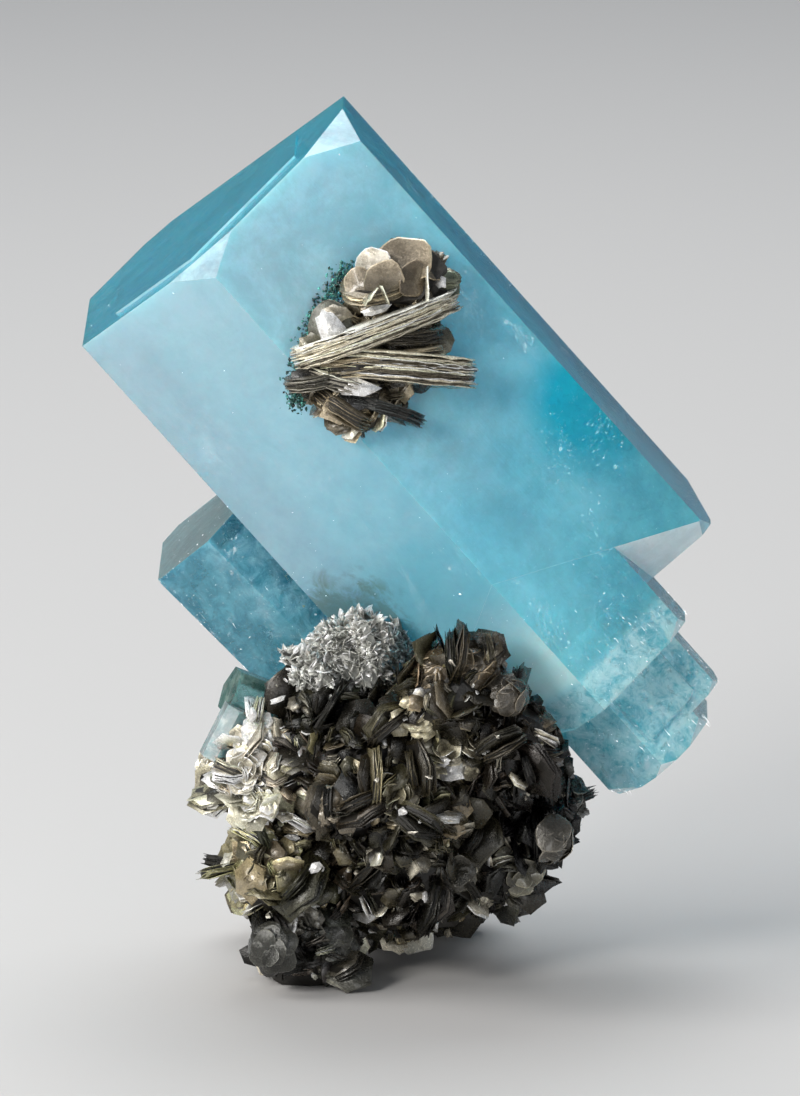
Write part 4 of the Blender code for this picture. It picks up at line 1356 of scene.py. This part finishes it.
# %% Tuft roses
# Place on the face, axis on the face, spread, petals, lean from and to, petal radius, tint.
TUFT_ROSES = (
    ((8.0, 23.6, 5.2), (-0.15, 0.20, 0.95), 5.2, 18, (10, 66), 3.2, (0.08, 0.065, 0.042)),
    ((-7.6, 25.4, 4.8), (-0.30, 0.40, 0.85), 2.4, 7, (10, 60), 2.3, (0.15, 0.12, 0.08)),
    ((-14.5, 21.5, 5.2), (-0.40, 0.35, 0.85), 3.0, 9, (10, 65), 2.4, (0.09, 0.085, 0.06)),
    ((-17.5, 15.0, 4.6), (-0.45, 0.10, 0.85), 2.8, 9, (10, 65), 2.4, (0.030, 0.030, 0.024)),
    ((-15.5, 10.5, 4.2), (-0.20, -0.55, 0.80), 3.0, 9, (0, 60), 2.5, (0.17, 0.135, 0.08)),
    ((2.0, 7.0, 4.0), (0.30, -0.40, 0.85), 3.4, 9, (0, 60), 2.7, (0.025, 0.028, 0.025)),
)
# Single round plates: place and axis on the face, radius, bulge, tint.
TUFT_DISCS = (
    ((10.2, 26.0, 8.2), (-0.22, 0.50, 0.84), 5.2, 0.5, (0.27, 0.22, 0.15)),
    ((3.9, 26.2, 9.6), (-0.60, 0.00, 0.80), 3.9, 0.9, (0.23, 0.19, 0.13)),
    ((8.2, 22.6, 10.4), (0.12, -0.30, 0.95), 3.5, 0.5, (0.19, 0.15, 0.10)),
    ((5.4, 29.4, 7.4), (-0.50, 0.52, 0.70), 3.5, 0.3, (0.46, 0.42, 0.34)),
    ((10.6, 18.8, 8.2), (0.35, -0.35, 0.87), 3.9, 0.4, (0.16, 0.13, 0.085)),
    ((13.6, 22.0, 8.0), (0.50, 0.20, 0.84), 3.7, 0.4, (0.15, 0.12, 0.075)),
    ((0.6, 24.2, 7.4), (-0.55, 0.35, 0.76), 3.0, 0.3, (0.22, 0.185, 0.13)),
    ((6.4, 21.2, 8.4), (-0.20, -0.60, 0.77), 3.2, 0.3, (0.06, 0.05, 0.032)),
    ((13.8, 16.4, 7.0), (0.10, 0.05, 0.98), 2.8, 0.3, (0.17, 0.20, 0.13)),
    ((0.8, 28.3, 6.2), (-0.50, 0.35, 0.79), 3.3, 0.3, (0.24, 0.20, 0.14)),
)
dice = np.random.default_rng(37)
tuft_roses = []
for place, axis, spread, petals, lean, radius, tint in TUFT_ROSES:
    centre = FACE_MIDDLE + FACE_TURN @ np.array(place)
    axis = FACE_TURN @ np.array(axis)
    tuft_roses.append(rose(centre, axis, spread, petals, lean, radius, tint, dice))
for place, axis, radius, bulge, tint in TUFT_DISCS:
    centre = FACE_MIDDLE + FACE_TURN @ np.array(place)
    tuft_roses.append((centre[None], unit(FACE_TURN @ np.array(axis))[None], np.array([radius]),
                       np.array([bulge]), np.array([tint])))
petals_piece("tuft_petals", tuft_roses, "brown_muscovite", dice)

# %% Loose plates of the tuft
# Six corners in the picture, height over the face in mm, its rise in mm per pixel to the right and
# down, tint.
CUT_PLATES = (
    (((315, 318), (322, 309), (333, 313), (346, 328), (331, 346), (322, 340)), 8.8, 0.10, 0.0,
     (0.86, 0.85, 0.82)),
    (((334, 381), (344, 369), (360, 379), (382, 388), (364, 397), (342, 395)), 8.6, 0.08, 0.0,
     (0.86, 0.85, 0.83)),
    (((430, 275), (439, 272), (446, 278), (446, 288), (438, 289), (433, 285)), 9.4, 0.10, 0.0,
     (0.84, 0.82, 0.77)),
    (((360, 312), (372, 306), (392, 304), (386, 311), (371, 316), (364, 316)), 8.6, 0.06, 0.0,
     (0.58, 0.55, 0.48)),
    (((291, 373), (309, 363), (327, 366), (324, 384), (304, 390), (293, 384)), 5.2, 0.02, 0.0,
     (0.020, 0.020, 0.019)),
    (((330, 395), (352, 388), (378, 394), (382, 404), (356, 412), (336, 408)), 6.0, 0.03, 0.05,
     (0.022, 0.022, 0.022)),
    (((360, 410), (372, 402), (393, 404), (406, 426), (390, 421), (372, 416)), 3.4, 0.02, 0.04,
     (0.035, 0.055, 0.055)),
    (((319, 417), (325, 402), (334, 397), (348, 404), (356, 421), (339, 425)), 4.2, 0.05, -0.05,
     (0.33, 0.275, 0.19)),
    (((322, 408), (330, 392), (338, 396), (341, 409), (336, 417), (326, 416)), 5.0, -0.12, 0.02,
     (0.30, 0.25, 0.17)),
    (((299, 338), (311, 332), (321, 338), (320, 352), (306, 356), (299, 348)), 6.2, 0.05, 0.0,
     (0.13, 0.12, 0.085)),
    (((322, 310), (333, 304), (346, 307), (353, 317), (340, 323), (328, 319)), 6.6, 0.05, 0.0,
     (0.24, 0.215, 0.165)),
    (((424, 268), (428, 266), (429, 285), (428, 305), (425, 306), (424, 285)), 10.6, 0.9, 0.0,
     (0.55, 0.50, 0.38)),
    (((362, 302), (366, 296), (377, 287), (379, 288), (370, 300), (365, 306)), 11.2, 0.6, 0.3,
     (0.50, 0.45, 0.34)),
    (((379, 286), (382, 286), (389, 300), (390, 305), (387, 303), (382, 293)), 11.2, 0.8, -0.3,
     (0.50, 0.45, 0.34)),
)


def turned_outward(corners, flats):
    """The same corners, in the order that runs round each flat direction to the left."""
    turn = np.cross(corners[:, 1] - corners[:, 0], corners[:, 2] - corners[:, 1])
    left = (turn * flats).sum(axis=1) > 0
    return np.where(left[:, None, None], corners, corners[:, ::-1])


def over_face(corners, height, rise_right, rise_down):
    """Points over the big front right face that the camera sees at these places of the picture. Each
    lies on its ray, where its height over the face is height + rises x its way from the middle."""
    picture = np.array(corners, float)
    away = picture - picture.mean(axis=0)
    heights = height + away[:, 0] * rise_right + away[:, 1] * rise_down
    start = np.array(camera.location) / MM
    looks = np.array([seen_at(x, y, CRYSTALS)[2] for x, y in picture])
    reach = (heights - (start - FACE_MIDDLE) @ FACE_OUT) / (looks @ FACE_OUT)
    return start + looks * reach[:, None]


corners = np.array([over_face(*row[:4]) for row in CUT_PLATES])
flats = unit(np.cross(corners[:, 2] - corners[:, 0], corners[:, 4] - corners[:, 0]))
flats = flats * np.sign(flats @ FACE_OUT)[:, None]
tints = np.array([row[4] for row in CUT_PLATES])
corners = turned_outward(corners, flats)
leaves_piece("tuft_bright_plates", corners, flats, tints, leaf_finish, "brown_muscovite", dice, 0.14,
             (0.80, 1.10), 0.04)

# %% [markdown]
# ## Chips, dust and small stains
# Beside the tuft the face is etched into dark green chips, and inside the crystals float curved
# sheets of fine dust where old cracks healed. Both are made of the smallest closed shape that
# catches light: a double pyramid over four points, eight triangles, flat or chunky.

# %% Specks
def specks(points, flats, sizes, flatness, dice):
    """Double pyramids: tips at middle +- flat side x size x flatness, four points round them."""
    count = len(points)
    first = unit(np.cross(flats, dice.normal(size=(count, 3))))
    second = np.cross(flats, first)
    tips = flats * (sizes * flatness)[:, None]
    wide = first * sizes[:, None] * dice.uniform(0.7, 1.3, (count, 1))
    deep = second * sizes[:, None] * dice.uniform(0.7, 1.3, (count, 1))
    made = np.stack([points + tips, points - tips, points + wide, points + deep, points - wide,
                     points - deep], axis=1)
    pattern = np.array([(0, 2, 3), (0, 3, 4), (0, 4, 5), (0, 5, 2),
                        (1, 3, 2), (1, 4, 3), (1, 5, 4), (1, 2, 5)])
    return made, repeated(pattern, 6, count)


def tints_of_specks(tints):
    """Each speck's tint for all six of its points."""
    return np.repeat(tints[:, None], 6, axis=1)


def chip_finish(name, rough, glow):
    """A plain glossy chip that takes its tint from the attribute, with fine grain. Dust deep in a
    crystal gets light from all sides, which a little glow stands for."""
    material, pen = new_finish(name)
    place = place_in_mm(pen)
    tint = leaf_tint(pen)
    grain = place.noise(5.0, 3).step(0.4, 0.7)
    colour = (grain * 0.4).blend(tint, tint.times((2.2, 2.2, 2.2)))
    bump = bumped(pen, 0.3, 0.2, grain)
    chip = pen.node("ShaderNodeBsdfPrincipled", None, {
        "Base Color": colour, "Roughness": rough, "IOR": BERYL_INDEX,
        "Emission Color": colour, "Emission Strength": glow,
        "Coat Weight": 0.5, "Coat Roughness": 0.1, "Normal": bump})
    close_finish(pen, chip)
    return material


# The dust glows at 0.8 and the stains at 0.05: painted light, for the light they get from all sides
# inside the crystal.
chip_look = chip_finish("etched chips", 0.25, 0.0)
glowing_dust_look = chip_finish("dust", 0.30, 0.8)
glowing_stain_look = chip_finish("stains", 0.35, 0.05)

# %% Etched zone beside the tuft
CHIPS = 1900
CHIP_LINE = np.array(((-22.0, 20.0, 0.0), (-16.5, 24.0, 0.0), (-8.0, 28.0, 0.0), (3.5, 31.0, 0.0)))
CHIP_TINT = (0.032, 0.115, 0.098)
dice = np.random.default_rng(71)
share = dice.random(CHIPS) * (len(CHIP_LINE) - 1)
leg = share.astype(int)
line_point = CHIP_LINE[leg] + (share - leg)[:, None] * np.diff(CHIP_LINE, axis=0)[leg]
aside = dice.normal(0, 1.15, (CHIPS, 3)) * np.array((1, 1, 0))
crowd = np.exp(-(np.linalg.norm(aside, axis=1, keepdims=True) / 2) ** 2)
out = dice.uniform(-0.1, 0.7, (CHIPS, 1)) * crowd
points = FACE_MIDDLE + (line_point + aside + out * np.array((0, 0, 1))) @ FACE_TURN.T
flats = unit(dice.normal(size=(CHIPS, 3)) + 0.5 * FACE_OUT)
sizes = dice.uniform(0.12, 0.50, CHIPS)
chip_points, chip_faces = specks(points, flats, sizes, 0.6, dice)
chip_tints = np.array(CHIP_TINT) * dice.lognormal(0, 0.9, (CHIPS, 1))
tinted_piece("etched_chips", chip_points, chip_faces, tints_of_specks(chip_tints), chip_look,
             "green_beryl")

# %% Dust veils inside the crystals
# Picture place, depth behind the face in mm, half sizes of the sheet in mm, its lean from the
# crystal's axis in degrees, number of specks.
VEIL_DENSITY = 1.7
VEILS = (
    ((212, 447), 5, (7, 3.0), 20, 260), ((300, 470), 9, (9, 4.0), -35, 220),
    ((330, 205), 7, (9, 3.5), 40, 260), ((290, 300), 12, (12, 5.0), 65, 240),
    ((470, 310), 8, (8, 2.5), 15, 240), ((520, 338), 4, (6, 1.6), -10, 240),
    ((556, 462), 6, (11, 5.0), 25, 300), ((505, 430), 12, (10, 6.0), -50, 200),
    ((590, 520), 7, (10, 4.5), 10, 240), ((470, 560), 9, (12, 5.0), 35, 220),
    ((380, 500), 8, (10, 4.5), 80, 260), ((420, 600), 6, (9, 3.0), 10, 260),
    ((540, 620), 6, (12, 3.0), 0, 320), ((640, 700), 5, (7, 3.0), 0, 260),
    ((230, 560), 5, (7, 3.5), 30, 280), ((270, 620), 4, (7, 3.0), 15, 240),
    ((400, 180), 10, (10, 4.0), -60, 220), ((600, 430), 14, (12, 5.0), 45, 260),
)
dice = np.random.default_rng(81)
dust_points, dust_flats, dust_sizes = [], [], []
for (x, y), depth, (length, width), lean, count in VEILS:
    count = int(count * VEIL_DENSITY)
    place, facing, look = seen_at(x, y, CRYSTALS)
    centre = place + look * (0.5 * depth)
    tilt = math.radians(lean)
    side = unit(np.cross(ALONG, facing))
    long_way = math.cos(tilt) * ALONG + math.sin(tilt) * side
    wide_way = unit(math.cos(tilt) * side - math.sin(tilt) * ALONG + 0.5 * facing)
    bulge = np.cross(long_way, wide_way)
    a = dice.normal(0, 0.5, count)
    b = dice.normal(0, 0.5, count) + 0.35 * np.sin(3.0 * a)
    sheet = np.outer(a * length, long_way) + np.outer(b * width, wide_way)
    sheet += np.outer(0.25 * length * (a ** 2 - b * a), bulge) + dice.normal(0, 0.12, (count, 3))
    dust_points.append(centre + sheet)
    dust_flats.append(unit(bulge + 0.35 * dice.normal(size=(count, 3))))
    dust_sizes.append(dice.lognormal(math.log(0.07), 0.55, count))
points, flats, sizes = map(np.concatenate, (dust_points, dust_flats, dust_sizes))
inside = depth_in_crystals(points) > 0.8
points, flats, sizes = points[inside], flats[inside], sizes[inside]
made, faces = specks(points, flats, sizes, 0.25, dice)
dust_tints = np.full((len(points), 3), 0.85) * dice.uniform(0.7, 1.1, (len(points), 1))
tinted_piece("dust_veils", made, faces, tints_of_specks(dust_tints), glowing_dust_look, "aquamarine")

# %% Stains and dots
# Picture place, depth in mm, half size of the cloud in mm, number of grains, grain size, tint.
STAINS = (
    ((460, 499), 0.4, 0.30, 14, 0.22, (0.42, 0.27, 0.04)),
    ((581, 547), 0.5, 0.10, 3, 0.22, (0.01, 0.01, 0.01)),
    ((276, 570), 0.8, 0.9, 60, 0.26, (0.16, 0.13, 0.07)),
    ((290, 580), 1.0, 1.6, 110, 0.22, (0.16, 0.22, 0.15)),
    ((300, 640), 1.0, 2.4, 120, 0.24, (0.13, 0.17, 0.10)),
    ((325, 618), 0.8, 2.4, 120, 0.22, (0.10, 0.16, 0.11)),
    ((610, 641), 1.5, 2.2, 90, 0.15, (0.34, 0.40, 0.16)),
    ((594, 700), 1.0, 1.8, 90, 0.16, (0.16, 0.26, 0.16)),
    ((548, 640), 1.5, 3.0, 120, 0.14, (0.30, 0.38, 0.20)),
    ((505, 655), 0.8, 2.0, 70, 0.16, (0.22, 0.34, 0.22)),
    ((250, 500), 3.0, 2.0, 60, 0.10, (0.16, 0.40, 0.44)),
    ((262, 540), 2.0, 3.0, 90, 0.10, (0.14, 0.40, 0.45)),
)
dice = np.random.default_rng(91)
grains, grain_sizes, grain_tints = [], [], []
for (x, y), depth, spread, count, size, tint in STAINS:
    place, facing, look = seen_at(x, y, CRYSTALS)
    grains.append(place + look * depth + dice.normal(0, spread, (count, 3)))
    grain_sizes.append(dice.lognormal(math.log(size), 0.5, count))
    grain_tints.append(scattered(tint, count, dice, 0.4))
points, sizes, tints = map(np.concatenate, (grains, grain_sizes, grain_tints))
inside = depth_in_crystals(points) > 0.1
points, sizes, tints = points[inside], sizes[inside], tints[inside]
made, faces = specks(points, unit(dice.normal(size=points.shape)), sizes, 0.8, dice)
tinted_piece("inner_stains", made, faces, tints_of_specks(tints), glowing_stain_look, "aquamarine")

# %% Small planes inside
# Six corners in the picture, depth below the face in mm, tint.
INNER_PLANES = (
    (((289, 594), (293, 584), (296, 576), (305, 586), (315, 598), (302, 596)), 0.5,
     (0.10, 0.26, 0.22)),
    (((398, 630), (402, 628), (405, 631), (404, 635), (400, 636), (398, 634)), 0.6,
     (0.03, 0.06, 0.06)),
    (((517, 325), (519, 324), (525, 338), (526, 350), (523, 349), (519, 337)), 0.8,
     (0.75, 0.86, 0.90)),
    (((400, 517), (408, 512), (424, 508), (424, 510), (409, 514), (401, 519)), 0.5,
     (0.30, 0.62, 0.70)),
)
dice = np.random.default_rng(93)
made, made_flats, made_tints = [], [], []
for picture, depth, tint in INNER_PLANES:
    seen = [seen_at(x, y, CRYSTALS) for x, y in picture]
    look = seen[0][2]
    facings = np.array([facing for _, facing, _ in seen])
    if np.ptp(facings, axis=0).max() < 0.01:
        made.append([place - facings[0] * depth for place, _, _ in seen])
        made_flats.append(facings[0])
    else:
        farthest = max(place @ look for place, _, _ in seen)
        made.append([place + look * (depth + farthest - place @ look) for place, _, _ in seen])
        made_flats.append(-look)
    made_tints.append(tint)
flats = np.array(made_flats)
corners = turned_outward(np.array(made), flats)
leaves_piece("inner_planes", corners, flats, np.array(made_tints), glowing_stain_look,
             "aquamarine", dice, 0.06, (0.97, 1.04), 0.005, 2)

# %% Sparkles just under the faces
def spots_in(patches, dice):
    """What the camera sees at random spots of the patches: place, facing and look of each."""
    for (left, upper, right, lower), count in patches:
        for x, y in dice.uniform((left, upper), (right, lower), (count, 2)):
            yield seen_at(x, y, CRYSTALS)


# Corners of a patch of the picture, number of sparkles in it.
DUST_TINT = 0.9
SPARKLE_PATCHES = (
    ((150, 500, 330, 700), 600), ((590, 590, 720, 810), 1100), ((440, 440, 700, 640), 260),
    ((90, 150, 420, 560), 200), ((330, 120, 640, 420), 200), ((230, 470, 480, 640), 240),
    ((60, 110, 330, 330), 160), ((480, 600, 620, 760), 420),
)
dice = np.random.default_rng(95)
points = np.array([place + look * dice.exponential(0.35)
                   for place, _, look in spots_in(SPARKLE_PATCHES, dice)])
points = points[depth_in_crystals(points) > -0.1]
sizes = dice.lognormal(math.log(0.062), 0.55, len(points))
made, faces = specks(points, unit(dice.normal(size=points.shape)), sizes, 0.3, dice)
tinted_piece("sparkles", made, faces, np.full(made.shape, DUST_TINT), glowing_dust_look, "aquamarine")

# %% Growth tubes at the foot
# Short white needles along the crystals' axis: patch of the picture, number in it.
NEEDLE_PATCHES = (
    ((605, 610, 720, 800), 420), ((560, 560, 700, 700), 110), ((140, 580, 280, 720), 60),
)
dice = np.random.default_rng(97)
points = np.array([place - facing * dice.exponential(0.30)
                   for place, facing, _ in spots_in(NEEDLE_PATCHES, dice)])
points = points[depth_in_crystals(points) > -0.05]
ways = unit(ALONG + 0.10 * dice.normal(size=points.shape))
sizes = dice.lognormal(math.log(0.040), 0.35, len(points))
made, faces = specks(points, ways, sizes, dice.uniform(5.0, 22.0, len(points)), dice)
tinted_piece("growth_tubes", made, faces, np.full(made.shape, DUST_TINT), glowing_dust_look, "aquamarine")

# %% [markdown]
# ## Last lines
# The box of the frame and the box of the finished model are printed at the end.

# %% Sizes and finish
dressed_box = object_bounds()
boxes = [[list(corner) for corner in box] for box in (cad_box, dressed_box)]
for name, box in zip(("frame", "dressed"), boxes):
    print(name, [round(v, 4) for corner in box for v in corner])
